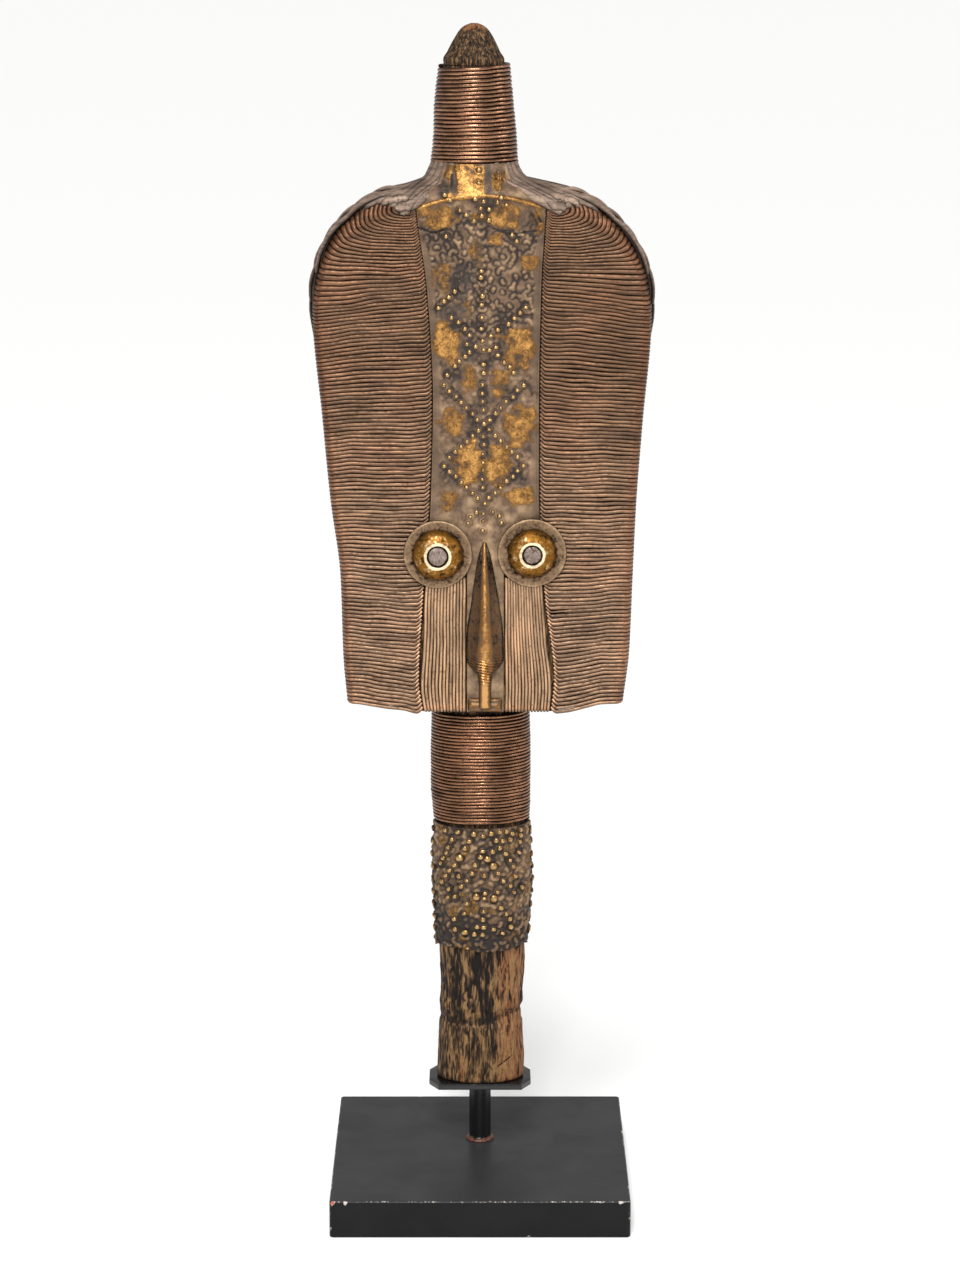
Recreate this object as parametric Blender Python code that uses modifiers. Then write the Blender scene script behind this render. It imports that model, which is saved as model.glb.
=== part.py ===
"""Reliquary guardian figure of carved wood dressed in brass sheet and copper wire, on its display stand.

Metres, +Z up. The origin is the middle of the plinth's underside and the face looks along -Y. Left and
right are the viewer's. The figure is one carved length of wood, foot, neck, head board and finial, which
the metal pieces are laid over. Neighbouring pieces keep a gap of 0.3 mm.
"""

import math
from dataclasses import dataclass

import bmesh
import bpy
from mathutils import Matrix, Vector

# Stand
GAP = 0.0003
PLINTH_SIDE = 0.140
PLINTH_HEIGHT = 0.0179
PLINTH_BEVEL = 0.0008
POST_RADIUS = 0.00525
POST_SIDES = 12
WELD_RADIUS = 0.0068
WELD_HEIGHT = 0.0012
PLATE_TOP = 0.0507
PLATE_THICKNESS = 0.0030
PLATE_WIDTH = 0.049
PLATE_DEPTH = 0.029
PLATE_CUT_WIDTH = 0.0044
PLATE_CUT_DEPTH = 0.0077
FIGURE_Y = 0.012

# Round lengths of the figure: height, middle across, half width, half depth of the outer skin
FOOT = (
    (PLATE_TOP + GAP, 0.0003, 0.0213, 0.0150),
    (0.0640, 0.0003, 0.0210, 0.0150),
    (0.0790, 0.0004, 0.0205, 0.0148),
    (0.0815, 0.0002, 0.0192, 0.0138),
    (0.0845, 0.0002, 0.0193, 0.0138),
    (0.0868, 0.0005, 0.0204, 0.0147),
    (0.0940, 0.0007, 0.0201, 0.0146),
    (0.1080, 0.0010, 0.0208, 0.0150),
    (0.1165, 0.0009, 0.0208, 0.0152),
)
SLEEVE = (
    (0.1180, 0.0008, 0.0224, 0.0166),
    (0.1300, 0.0009, 0.0227, 0.0168),
    (0.1490, 0.0012, 0.0238, 0.0172),
    (0.1640, 0.0008, 0.0237, 0.0172),
    (0.1787, 0.0008, 0.0228, 0.0168),
)
NECK = (
    (0.1790, 0.0008, 0.0229, 0.0168),
    (0.1970, 0.0003, 0.0238, 0.0170),
    (0.2120, 0.0003, 0.0238, 0.0170),
    (0.2335, 0.0003, 0.0233, 0.0168),
)
FINIAL = (
    (0.4815, -0.0026, 0.0226, 0.0178),
    (0.4870, -0.0026, 0.0207, 0.0170),
    (0.5027, -0.0023, 0.0192, 0.0165),
    (0.5165, -0.0028, 0.0183, 0.0160),
    (0.5362, -0.0026, 0.0163, 0.0145),
)
TIP = (
    (0.5364, -0.0028, 0.0140, 0.0124),
    (0.5410, -0.0029, 0.0127, 0.0113),
    (0.5465, -0.0028, 0.0100, 0.0090),
    (0.5508, -0.0027, 0.0065, 0.0060),
    (0.5528, -0.0027, 0.0025, 0.0024),
)
SPINE = (
    (0.2500, 0.0010, 0.0190, 0.0158),
    (0.3300, 0.0020, 0.0140, 0.0132),
    (0.4100, 0.0015, 0.0140, 0.0128),
    (0.4700, -0.0015, 0.0180, 0.0148),
)
SLEEVE_THICKNESS = 0.0013
WIRE_THICKNESS = 0.0018
RIB_DEPTH = 0.0007
ROUND_SIDES = 16
NECK_RIBS = 9
FINIAL_RIBS = 7
INNER_ROWS = 3
FINIAL_LOW_Z = 0.4838
FINIAL_ARCH = 0.0074
FINIAL_ARCH_SHARE = 0.68
GATHER_Z = 0.4835
GATHER_HALF_WIDTH = 0.0165
GATHER_HALF_DEPTH = 0.0130
GATHER_FIRST = math.radians(-165.0)
GATHER_SPREAD = math.radians(-60.0)

# Head board: height against the face's depth in front of the figure's axis, wires included
FACE_PROFILE = (
    (0.2350, 0.0235),
    (0.2620, 0.0222),
    (0.3000, 0.0206),
    (0.3500, 0.0196),
    (0.4000, 0.0201),
    (0.4400, 0.0222),
    (0.4700, 0.0256),
    (0.4780, 0.0270),
    (0.4900, 0.0275),
)
BOARD_THICKNESS = 0.0220
FACE_CROWN = 0.0010
CHIN_Z = 0.2362
BROW_Z = 0.4700
FAN_START_Z = 0.4300
FAN_LENGTH = 0.1850
FAN_GROWTH = 1.6
RIM_INSET_SIDE = 0.0034
RIM_INSET_TOP = 0.0095
RIM_DEPTH_SIDE = 0.0080
RIM_DEPTH_TOP = 0.0115
BACK_ROUND = 0.0060
BACK_RETURN_SIDE = 0.0220
BACK_RETURN_TOP = 0.0150
PANEL_RIBS = 28
BED_ROWS = 15
BED_CLEARANCE = 0.0005
CHANNEL_DEPTH = 0.0031

# Outward distance from the middle plane and height of each half's outline, chin corner to finial
LEFT_OUTLINE = (
    (0.0622, 0.2405),
    (0.0640, 0.2620),
    (0.0651, 0.3000),
    (0.0695, 0.3362),
    (0.0728, 0.3736),
    (0.0768, 0.4230),
    (0.0740, 0.4430),
    (0.0672, 0.4588),
    (0.0550, 0.4715),
    (0.0420, 0.4785),
    (0.0330, 0.4805),
)
RIGHT_OUTLINE = (
    (0.0670, 0.2405),
    (0.0699, 0.2650),
    (0.0712, 0.3000),
    (0.0726, 0.3343),
    (0.0751, 0.3713),
    (0.0787, 0.4200),
    (0.0763, 0.4400),
    (0.0690, 0.4562),
    (0.0575, 0.4693),
    (0.0440, 0.4775),
    (0.0345, 0.4808),
)
# Height against the outward distance of the brass strip's edge
LEFT_STRIP_EDGE = (
    (0.2362, 0.0266),
    (0.2500, 0.0285),
    (0.2924, 0.0262),
    (0.3361, 0.0233),
    (0.3849, 0.0221),
    (0.4326, 0.0245),
    (0.4700, 0.0292),
    (0.4800, 0.0298),
)
RIGHT_STRIP_EDGE = (
    (0.2362, 0.0330),
    (0.2500, 0.0345),
    (0.2924, 0.0298),
    (0.3361, 0.0277),
    (0.3849, 0.0276),
    (0.4362, 0.0284),
    (0.4700, 0.0302),
    (0.4800, 0.0305),
)

# Brass strip down the face
STRIP_SINK = 0.0016
STRIP_THICKNESS = 0.0012
STRIP_LIP = 0.0005
STRIP_COLUMNS = (0.0, 0.035, 0.26, 0.5, 0.74, 0.965, 1.0)
STRIP_CLEARANCE = 0.0006
STRIP_WIDE_Z = 0.3052
TONGUE_LOW_Z = 0.2370
TONGUE_HIGH_Z = 0.3042
TONGUE_LEFT = -0.0060
TONGUE_RIGHT = 0.0110
BROW_ARCH = 0.0058
BROW_CREST_Z = 0.4772
# Height, depth in front of the axis, half width and roundness radius of the tab up on to the finial
TAB = (
    (0.4792, 0.0250, 0.0215, 0.0500),
    (0.4830, 0.0222, 0.0168, 0.0290),
    (0.4872, 0.0190, 0.0150, 0.0225),
    (0.4908, 0.0181, 0.0143, 0.0215),
)
TAB_MIDDLE_X = -0.0022
HEAD_X = 0.0018

# Studs
STUD_RADIUS = 0.0015
STUD_HEIGHT = 0.0011
STUD_ROOT = 0.0004
STUD_SIDES = 3
STUD_PITCH = 0.0046
LOZENGE_NODES = (0.4775, 0.4457, 0.4102, 0.3720, 0.3352)
LOZENGE_HALF_WIDTH = 0.0190
LOZENGE_STUDS = 5
EYE_ARCH_STUDS = 5
EYE_ARCH_RADIUS = 0.0080
EYE_ARCH_Z = 0.3240
SLEEVE_STUD_ROWS = 6
SLEEVE_STUDS_ROUND = 8
SLEEVE_STUD_ARC = math.radians(200.0)

# Cheek bands of upright wires: height, inner and outer edge as signed distances across
LEFT_CHEEK = (
    (0.2364, -0.0066, -0.0260),
    (0.2500, -0.0066, -0.0275),
    (0.2700, -0.0066, -0.0264),
    (0.3018, -0.0066, -0.0251),
)
RIGHT_CHEEK = (
    (0.2364, 0.0116, 0.0323),
    (0.2500, 0.0116, 0.0333),
    (0.2700, 0.0116, 0.0310),
    (0.3018, 0.0116, 0.0284),
)
CHEEK_RIBS = 7
CHEEK_ROUND = 0.0016

# Nose: height, middle across, half width of the sheet, half width and height of the polished ridge
NOSE = (
    (0.3170, 0.0021, 0.0008, 0.0005, 0.0006),
    (0.3110, 0.0021, 0.0028, 0.0013, 0.0022),
    (0.3000, 0.0022, 0.0048, 0.0022, 0.0045),
    (0.2880, 0.0024, 0.0066, 0.0027, 0.0066),
    (0.2740, 0.0023, 0.0085, 0.0037, 0.0084),
    (0.2620, 0.0023, 0.0086, 0.0048, 0.0086),
    (0.2590, 0.0023, 0.0072, 0.0045, 0.0078),
    (0.2550, 0.0023, 0.0036, 0.0030, 0.0066),
    (0.2480, 0.0023, 0.0029, 0.0026, 0.0056),
    (0.2400, 0.0023, 0.0030, 0.0027, 0.0048),
)
NOSE_FOOT_LEFT = -0.0056
NOSE_FOOT_RIGHT = 0.0102
NOSE_FOOT_BOTTOM = 0.2372
NOSE_FOOT_TOP = 0.2436
NOSE_FOOT_HEIGHT = 0.0018

# Eyes: middle across, height, washer, boss and pin radii
LEFT_EYE = (-0.0195, 0.3118, 0.0159, 0.0118, 0.0048)
RIGHT_EYE = (0.0241, 0.3125, 0.0160, 0.0113, 0.0045)
WASHER_THICKNESS = 0.0013
WASHER_HOLE_SHARE = 0.6
BOSS_HEIGHT = 0.0062
BOSS_RINGS = 3
BOSS_START_ANGLE = 82.0
BOSS_WALL = 0.0016
PIN_RECESS = 0.0009
EYE_STANDOFF = 0.0006
EYE_SIDES = 20

# Bindings along the back of the shoulders: length past the outline's end, half thickness, half width, lift
BINDING = (
    (-0.0720, 0.0006, 0.0014, 0.0008),
    (-0.0520, 0.0010, 0.0024, 0.0012),
    (-0.0320, 0.0011, 0.0029, 0.0013),
    (-0.0140, 0.0012, 0.0033, 0.0014),
    (-0.0020, 0.0014, 0.0038, 0.0020),
    (0.0060, 0.0016, 0.0042, 0.0034),
)
BINDING_BEHIND = 0.0045
BINDING_RISE = 0.10
BINDING_SIDES = 8
LEFT_BINDING_REACH = 0.0060
RIGHT_BINDING_REACH = 0.0120

WOOD = (0.060, 0.036, 0.022)
COPPER_WIRE = (0.250, 0.110, 0.055)
PATINATED_WIRE = (0.150, 0.095, 0.060)
AGED_BRASS = (0.300, 0.185, 0.085)
BRIGHT_BRASS = (0.550, 0.340, 0.090)
DULL_BRASS = (0.220, 0.150, 0.095)
IRON_PIN = (0.230, 0.210, 0.190)
BLACK_PAINT = (0.012, 0.012, 0.012)


def clear_scene():
    """Remove every object that the scene starts with."""
    for obj in list(bpy.data.objects):
        bpy.data.objects.remove(obj, do_unlink=True)


def new_collection(name):
    """Make a collection in the scene."""
    collection = bpy.data.collections.new(name)
    bpy.context.scene.collection.children.link(collection)
    return collection


def new_material(name, colour, roughness, metallic):
    """Make a Principled material of one colour."""
    material = bpy.data.materials.new(name)
    material.use_nodes = True
    shader = material.node_tree.nodes["Principled BSDF"]
    shader.inputs["Base Color"].default_value = (*colour, 1.0)
    shader.inputs["Roughness"].default_value = roughness
    shader.inputs["Metallic"].default_value = metallic
    return material


def add_piece(name, bm, collection, material, crease_angle=35.0):
    """Turn a finished bmesh into a named, closed, smooth-shaded object."""
    bmesh.ops.remove_doubles(bm, verts=bm.verts, dist=0.000002)
    bmesh.ops.recalc_face_normals(bm, faces=bm.faces)
    mesh = bpy.data.meshes.new(name)
    bm.to_mesh(mesh)
    bm.free()
    piece = bpy.data.objects.new(name, mesh)
    collection.objects.link(piece)
    piece.data.materials.append(material)
    mesh.shade_smooth()
    mesh.set_sharp_from_angle(angle=math.radians(crease_angle))
    return piece


def smooth_between(stations, at):
    """Values at a place between stations, on a smooth curve that never swings past them."""
    if at <= stations[0][0]:
        return stations[0][1:]
    if at >= stations[-1][0]:
        return stations[-1][1:]
    index = max(i for i in range(len(stations) - 1) if stations[i][0] <= at)
    low, high = stations[index], stations[index + 1]
    span = high[0] - low[0]
    part = (at - low[0]) / span
    values = []
    for column in range(1, len(low)):
        chord = (high[column] - low[column]) / span
        tangents = []
        for end in (index, index + 1):
            if end in (0, len(stations) - 1):
                tangents.append(chord)
                continue
            before = (stations[end][column] - stations[end - 1][column]) / (stations[end][0] - stations[end - 1][0])
            after = (stations[end + 1][column] - stations[end][column]) / (stations[end + 1][0] - stations[end][0])
            tangents.append(2.0 * before * after / (before + after) if before * after > 0.0 else 0.0)
        square = part * part
        cube = square * part
        values.append(
            low[column] * (2.0 * cube - 3.0 * square + 1.0)
            + tangents[0] * span * (cube - 2.0 * square + part)
            + high[column] * (3.0 * square - 2.0 * cube)
            + tangents[1] * span * (cube - square)
        )
    return tuple(values)


def face_y(x, z):
    """Depth of the face's outer surface: hollow from brow to chin and a little crowned across."""
    depth = smooth_between(FACE_PROFILE, z)[0]
    return FIGURE_Y - depth + FACE_CROWN * min(1.0, abs(x - HEAD_X) / LEFT_OUTLINE[-6][0]) ** 2


@dataclass
class Half:
    """One half of the head board, left (-1) or right (+1)."""

    sign: int
    outline: tuple
    strip_edge: tuple

    def __post_init__(self):
        lengths = [0.0]
        for before, after in zip(self.outline, self.outline[1:]):
            lengths.append(lengths[-1] + math.dist(before, after))
        self.length = lengths[-1]
        self.stations = tuple((s, x, z) for s, (x, z) in zip(lengths, self.outline))

    def rim(self, s):
        """Outline point and outward normal at a length along the outline."""
        step = 0.0015
        before = smooth_between(self.stations, s - step)
        after = smooth_between(self.stations, s + step)
        point = smooth_between(self.stations, s)
        run = (after[0] - before[0], after[1] - before[1])
        size = math.hypot(*run)
        return point, (run[1] / size, -run[0] / size)

    def rim_length(self, strip_z):
        """Length along the outline that the wire leaving the strip at this height comes to."""
        rate = FAN_LENGTH / (FAN_START_Z - CHIN_Z)
        if strip_z <= FAN_START_Z:
            return rate * (strip_z - CHIN_Z)
        part = (strip_z - FAN_START_Z) / (BROW_Z - FAN_START_Z)
        run = rate * (BROW_Z - FAN_START_Z)
        return FAN_LENGTH + run * part + (self.length - FAN_LENGTH - run) * part ** FAN_GROWTH

    def wire_path(self, strip_z, sink_edge, sink):
        """Points of one wire from the strip's edge over the rim to the back, sunk below the outer skin."""
        start = (smooth_between(self.strip_edge, strip_z)[0], strip_z)
        rim, normal = self.rim(self.rim_length(strip_z))
        upward = max(0.0, normal[1])
        inset = RIM_INSET_SIDE + (RIM_INSET_TOP - RIM_INSET_SIDE) * upward ** 1.5
        depth = RIM_DEPTH_SIDE + (RIM_DEPTH_TOP - RIM_DEPTH_SIDE) * upward
        back_return = BACK_RETURN_SIDE + (BACK_RETURN_TOP - BACK_RETURN_SIDE) * upward
        bend = (rim[0] - inset * normal[0], rim[1] - inset * normal[1])
        reach = math.dist(start, bend)
        handles = (
            (start[0] + 0.45 * reach, start[1]),
            (bend[0] - 0.40 * reach * normal[0], bend[1] - 0.40 * reach * normal[1]),
        )
        points = []
        for part in (0.0, min(0.2, 0.0011 / reach), 0.5, 1.0):
            flat = bezier((start, *handles, bend), part)
            x = self.sign * flat[0]
            drop = sink_edge if part == 0.0 else sink
            points.append(Vector((x, face_y(x, flat[1]) + drop, flat[1])))
        face = face_y(self.sign * bend[0], bend[1])
        for angle in (math.radians(50.0), math.radians(90.0)):
            along = -inset * (1.0 - math.sin(angle))
            y = face + depth * (1.0 - math.cos(angle))
            lean = Vector((depth * math.sin(angle), -inset * math.cos(angle))).normalized()
            points.append(self.rim_point(rim, normal, along - sink * lean[0], y - sink * lean[1]))
        back_depth = BOARD_THICKNESS - depth
        turn = math.radians(60.0)
        lean = Vector((back_depth * math.cos(turn), BACK_ROUND * math.sin(turn))).normalized()
        along = -BACK_ROUND * (1.0 - math.cos(turn)) - sink * lean[0]
        points.append(self.rim_point(rim, normal, along, face + depth + back_depth * math.sin(turn) - sink * lean[1]))
        points.append(self.rim_point(rim, normal, -back_return, face + BOARD_THICKNESS - sink))
        return points

    def rim_point(self, rim, normal, along, y):
        """A point off the outline, moved along its normal."""
        return Vector((self.sign * (rim[0] + along * normal[0]), y, rim[1] + along * normal[1]))


LEFT = Half(-1, LEFT_OUTLINE, LEFT_STRIP_EDGE)
RIGHT = Half(1, RIGHT_OUTLINE, RIGHT_STRIP_EDGE)


def bezier(points, part):
    """Point of a flat cubic curve."""
    rest = 1.0 - part
    weights = (rest ** 3, 3.0 * rest * rest * part, 3.0 * rest * part * part, part ** 3)
    return tuple(sum(w * p[axis] for w, p in zip(weights, points)) for axis in (0, 1))


def bed_heights():
    """Strip heights of the rows that the board and the inside of the panels share, closer at the top."""
    parts = [1.0 - (1.0 - i / BED_ROWS) ** 1.35 for i in range(BED_ROWS + 1)]
    return [CHIN_Z + (BROW_Z - CHIN_Z) * part for part in parts]


def add_rows(bm, rows, closed):
    """Skin rows of points, all of one count, into quads; return the vertices row by row."""
    grid = [[bm.verts.new(point) for point in row] for row in rows]
    count = len(grid[0])
    for low, high in zip(grid, grid[1:]):
        for i in range(count if closed else count - 1):
            j = (i + 1) % count
            bm.faces.new((low[i], low[j], high[j], high[i]))
    return grid


def zip_edges(bm, edge_a, edge_b):
    """Close the slit between two chains of vertices that run side by side."""
    i = j = 0
    while i < len(edge_a) - 1 or j < len(edge_b) - 1:
        step_a = (i + 1) / (len(edge_a) - 1) if i < len(edge_a) - 1 else 2.0
        step_b = (j + 1) / (len(edge_b) - 1) if j < len(edge_b) - 1 else 2.0
        if step_a <= step_b:
            bm.faces.new((edge_a[i], edge_a[i + 1], edge_b[j]))
            i += 1
        else:
            bm.faces.new((edge_a[i], edge_b[j + 1], edge_b[j]))
            j += 1


def ring(z, middle, half_width, half_depth, sides=ROUND_SIDES):
    """Oval ring of points about the figure's axis."""
    points = []
    for i in range(sides):
        angle = 2.0 * math.pi * i / sides
        x = middle + half_width * math.cos(angle)
        y = FIGURE_Y + half_depth * math.sin(angle)
        points.append(Vector((x, y, z)))
    return points


def shrunk(stations, by):
    """Stations of a round length with the skin moved in."""
    return tuple((z, middle, width - by, depth - by) for z, middle, width, depth in stations)


def capped_loft(rows):
    """Closed solid through rings of equal count."""
    bm = bmesh.new()
    grid = add_rows(bm, rows, closed=True)
    bm.faces.new(list(reversed(grid[0])))
    bm.faces.new(grid[-1])
    return bm


def boolean(target, other, operation):
    """Apply an exact Boolean and remove the other object."""
    modifier = target.modifiers.new("Join", "BOOLEAN")
    modifier.operation = operation
    modifier.solver = "EXACT"
    modifier.object = other
    graph = bpy.context.evaluated_depsgraph_get()
    mesh = bpy.data.meshes.new_from_object(target.evaluated_get(graph))
    target.modifiers.clear()
    target.data = mesh
    bpy.data.objects.remove(other, do_unlink=True)


def turned(name, profile, collection, material, sides):
    """Turned solid from (radius, height) points that run down its outer side."""
    mesh = bpy.data.meshes.new(name)
    points = [(radius, 0.0, height) for radius, height in profile]
    mesh.from_pydata(points, [(i, i + 1) for i in range(len(points) - 1)], [])
    piece = bpy.data.objects.new(name, mesh)
    collection.objects.link(piece)
    screw = piece.modifiers.new("Turn", "SCREW")
    screw.steps = sides
    screw.render_steps = sides
    screw.use_merge_vertices = True
    screw.merge_threshold = 0.00002
    weld = piece.modifiers.new("Close", "WELD")
    weld.merge_threshold = 0.00002
    piece.data.materials.append(material)
    return piece


def box_bmesh(low, high):
    """Box between two corners."""
    bm = bmesh.new()
    middle = [(a + b) / 2.0 for a, b in zip(low, high)]
    size = [b - a for a, b in zip(low, high)]
    bmesh.ops.create_cube(bm, size=1.0, matrix=Matrix.Translation(middle) @ Matrix.Diagonal((*size, 1.0)))
    return bm


def make_plinth(collection, material):
    """Square block that the figure stands on."""
    half = PLINTH_SIDE / 2.0
    bm = box_bmesh((-half, -half, 0.0), (half, half, PLINTH_HEIGHT))
    plinth = add_piece("stand_plinth", bm, collection, material)
    bevel = plinth.modifiers.new("Edges", "BEVEL")
    bevel.width = PLINTH_BEVEL
    bevel.segments = 1


def make_post(collection, material):
    """Round post with its weld bead, between plinth and plate."""
    bottom = PLINTH_HEIGHT + GAP
    top = PLATE_TOP - PLATE_THICKNESS - GAP
    profile = (
        (0.0, top),
        (POST_RADIUS, top),
        (POST_RADIUS, bottom + WELD_HEIGHT),
        (WELD_RADIUS, bottom),
        (0.0, bottom),
    )
    post = turned("stand_post", profile, collection, material, POST_SIDES)
    post.location = (0.0, FIGURE_Y, 0.0)


def make_plate(collection, material):
    """Flat plate with cut corners under the figure's foot."""
    curve = bpy.data.curves.new("stand_plate", "CURVE")
    curve.dimensions = "2D"
    curve.fill_mode = "BOTH"
    curve.extrude = PLATE_THICKNESS / 2.0
    half_width = PLATE_WIDTH / 2.0
    half_depth = PLATE_DEPTH / 2.0
    straight = half_width - PLATE_CUT_WIDTH
    side = half_depth - PLATE_CUT_DEPTH
    outline = (
        (-straight, -half_depth),
        (straight, -half_depth),
        (half_width, -side),
        (half_width, side),
        (straight, half_depth),
        (-straight, half_depth),
        (-half_width, side),
        (-half_width, -side),
    )
    spline = curve.splines.new("POLY")
    spline.points.add(len(outline) - 1)
    for point, (x, y) in zip(spline.points, outline):
        point.co = (x, y, 0.0, 1.0)
    spline.use_cyclic_u = True
    plate = bpy.data.objects.new("stand_plate", curve)
    collection.objects.link(plate)
    plate.location = (0.0, FIGURE_Y, PLATE_TOP - PLATE_THICKNESS / 2.0)
    weld = plate.modifiers.new("Close", "WELD")
    weld.merge_threshold = 0.00001
    curve.materials.append(material)


def board_rows():
    """Rings of the head board's wood, chin to brow, and the ring that gathers them under the finial."""
    bed = WIRE_THICKNESS + BED_CLEARANCE
    rows = []
    for z in bed_heights():
        left = LEFT.wire_path(z, bed, bed)
        right = RIGHT.wire_path(z, bed, bed)
        rise = BROW_ARCH * max(0.0, (z - FAN_START_Z) / (BROW_Z - FAN_START_Z)) ** 3
        front = Vector((HEAD_X, face_y(HEAD_X, z + rise) + CHANNEL_DEPTH, z + rise))
        walls = []
        for first in (left[0], right[0]):
            walls.append(Vector((first.x, face_y(first.x, z) + CHANNEL_DEPTH, first.z)))
            first.x += math.copysign(0.00002, first.x)
        back = Vector((HEAD_X, (left[-1].y + right[-1].y) / 2.0, (left[-1].z + right[-1].z) / 2.0))
        rows.append([front, walls[0], *left, back, *reversed(right), walls[1]])
    side_count = (len(rows[0]) - 2) // 2
    left_angles = [GATHER_FIRST + GATHER_SPREAD * i / (side_count - 1) for i in range(side_count)]
    right_angles = [math.pi - angle for angle in reversed(left_angles)]
    gather = []
    for angle in (-math.pi / 2.0, *left_angles, math.pi / 2.0, *right_angles):
        x = FINIAL[0][1] + GATHER_HALF_WIDTH * math.cos(angle)
        y = FIGURE_Y + GATHER_HALF_DEPTH * math.sin(angle)
        gather.append(Vector((x, y, GATHER_Z)))
    rows.append(gather)
    return rows


def pole_rows():
    """Rings of the wood's round length, foot to tip."""
    stations = list(FOOT)
    stations += shrunk(SLEEVE, SLEEVE_THICKNESS + GAP)
    stations += shrunk(NECK, WIRE_THICKNESS + GAP)
    stations += SPINE
    stations += shrunk(FINIAL, WIRE_THICKNESS + GAP)
    stations += TIP
    return [ring(*station) for station in stations]


def close_chin(bm, ring_vertices):
    """Close the board's chin edge in two halves, each from the middle line out to its rim."""
    half = len(ring_vertices) // 2
    for side in (ring_vertices[:half + 1], [ring_vertices[0]] + ring_vertices[:half - 1:-1]):
        front, wall, edge, pad, middle, bend, steep, rim, turn, end, back = side
        bm.faces.new((front, wall, end, back))
        bm.faces.new((wall, edge, pad, end))
        bm.faces.new((pad, middle, end))
        bm.faces.new((middle, bend, turn, end))
        bm.faces.new((bend, steep, rim, turn))


def make_core(collection, material):
    """The carved wood: foot, neck, head board, spine, finial and tip in one."""
    core = add_piece("wood_core", capped_loft(pole_rows()), collection, material)
    bm = bmesh.new()
    grid = add_rows(bm, board_rows(), closed=True)
    close_chin(bm, grid[0])
    bm.faces.new(grid[-1])
    board = add_piece("board", bm, collection, material)
    boolean(core, board, "UNION")


def make_panel(name, half, collection, material):
    """Layer of copper wires over one half of the head, ribbed along the wires."""
    bm = bmesh.new()
    count = 2 * PANEL_RIBS
    fine = []
    for row in range(count + 1):
        z = CHIN_Z + (BROW_Z - CHIN_Z) * row / count
        drop = RIB_DEPTH if row % 2 == 0 else 0.0
        fine.append(half.wire_path(z, WIRE_THICKNESS / 2.0, drop))
    coarse = [half.wire_path(z, WIRE_THICKNESS, WIRE_THICKNESS) for z in bed_heights()]
    outer = add_rows(bm, fine, closed=False)
    inner = add_rows(bm, coarse, closed=False)
    zip_edges(bm, [row[0] for row in outer], [row[0] for row in inner])
    zip_edges(bm, [row[-1] for row in outer], [row[-1] for row in inner])
    zip_edges(bm, outer[0], inner[0])
    zip_edges(bm, outer[-1], inner[-1])
    add_piece(name, bm, collection, material, crease_angle=20.0)


def make_wrap(name, stations, low, high, ribs, collection, material):
    """Coil of wire round the wood, ribbed along its turns; low gives its lower edge at each angle."""
    bm = bmesh.new()
    thickness = WIRE_THICKNESS

    def turn(part, sink):
        points = []
        for i in range(ROUND_SIDES):
            angle = 2.0 * math.pi * i / ROUND_SIDES
            z = low(angle) + (high - low(angle)) * part
            middle, half_width, half_depth = smooth_between(stations, z)
            x = middle + (half_width - sink) * math.cos(angle)
            y = FIGURE_Y + (half_depth - sink) * math.sin(angle)
            points.append(Vector((x, y, z)))
        return points

    count = 2 * ribs
    outer = [turn(row / count, RIB_DEPTH if row % 2 == 0 else 0.0) for row in range(count + 1)]
    inner = [turn(row / INNER_ROWS, thickness) for row in range(INNER_ROWS + 1)]
    outer_grid = add_rows(bm, outer, closed=True)
    inner_grid = add_rows(bm, inner, closed=True)
    for end in (0, -1):
        for i in range(ROUND_SIDES):
            j = (i + 1) % ROUND_SIDES
            bm.faces.new((outer_grid[end][i], outer_grid[end][j], inner_grid[end][j], inner_grid[end][i]))
    add_piece(name, bm, collection, material, crease_angle=20.0)


def neck_low(angle):
    """Level lower edge of the neck's coil."""
    return NECK[0][0] + GAP


def finial_low(angle):
    """Lower edge of the finial's coil, arched over the brass tab in front."""
    front = min(1.0, max(0.0, -math.sin(angle)) / FINIAL_ARCH_SHARE)
    return FINIAL_LOW_Z + FINIAL_ARCH * front * front * (3.0 - 2.0 * front)


def far_enough(points, gap):
    """Points left when each that crowds an earlier one is dropped."""
    kept = []
    for point in points:
        if all((point - other).length >= gap for other in kept):
            kept.append(point)
    return kept


def stud_field(places):
    """Low pointed studs at (point, outward direction) places, as one mesh of separate studs."""
    bm = bmesh.new()
    for point, outward in places:
        turn = outward.to_track_quat("Z", "Y").to_matrix().to_4x4()
        seat = Matrix.Translation(point + outward * (STUD_HEIGHT - STUD_ROOT) / 2.0) @ turn
        bmesh.ops.create_cone(
            bm,
            cap_ends=True,
            segments=STUD_SIDES,
            radius1=STUD_RADIUS,
            radius2=0.0,
            depth=STUD_HEIGHT + STUD_ROOT,
            matrix=seat,
        )
    return bm


def strip_edges(z):
    """Signed left and right edge of the wide part of the strip."""
    left = -smooth_between(LEFT_STRIP_EDGE, z)[0] + STRIP_CLEARANCE
    right = smooth_between(RIGHT_STRIP_EDGE, z)[0] - STRIP_CLEARANCE
    return left, right


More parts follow.
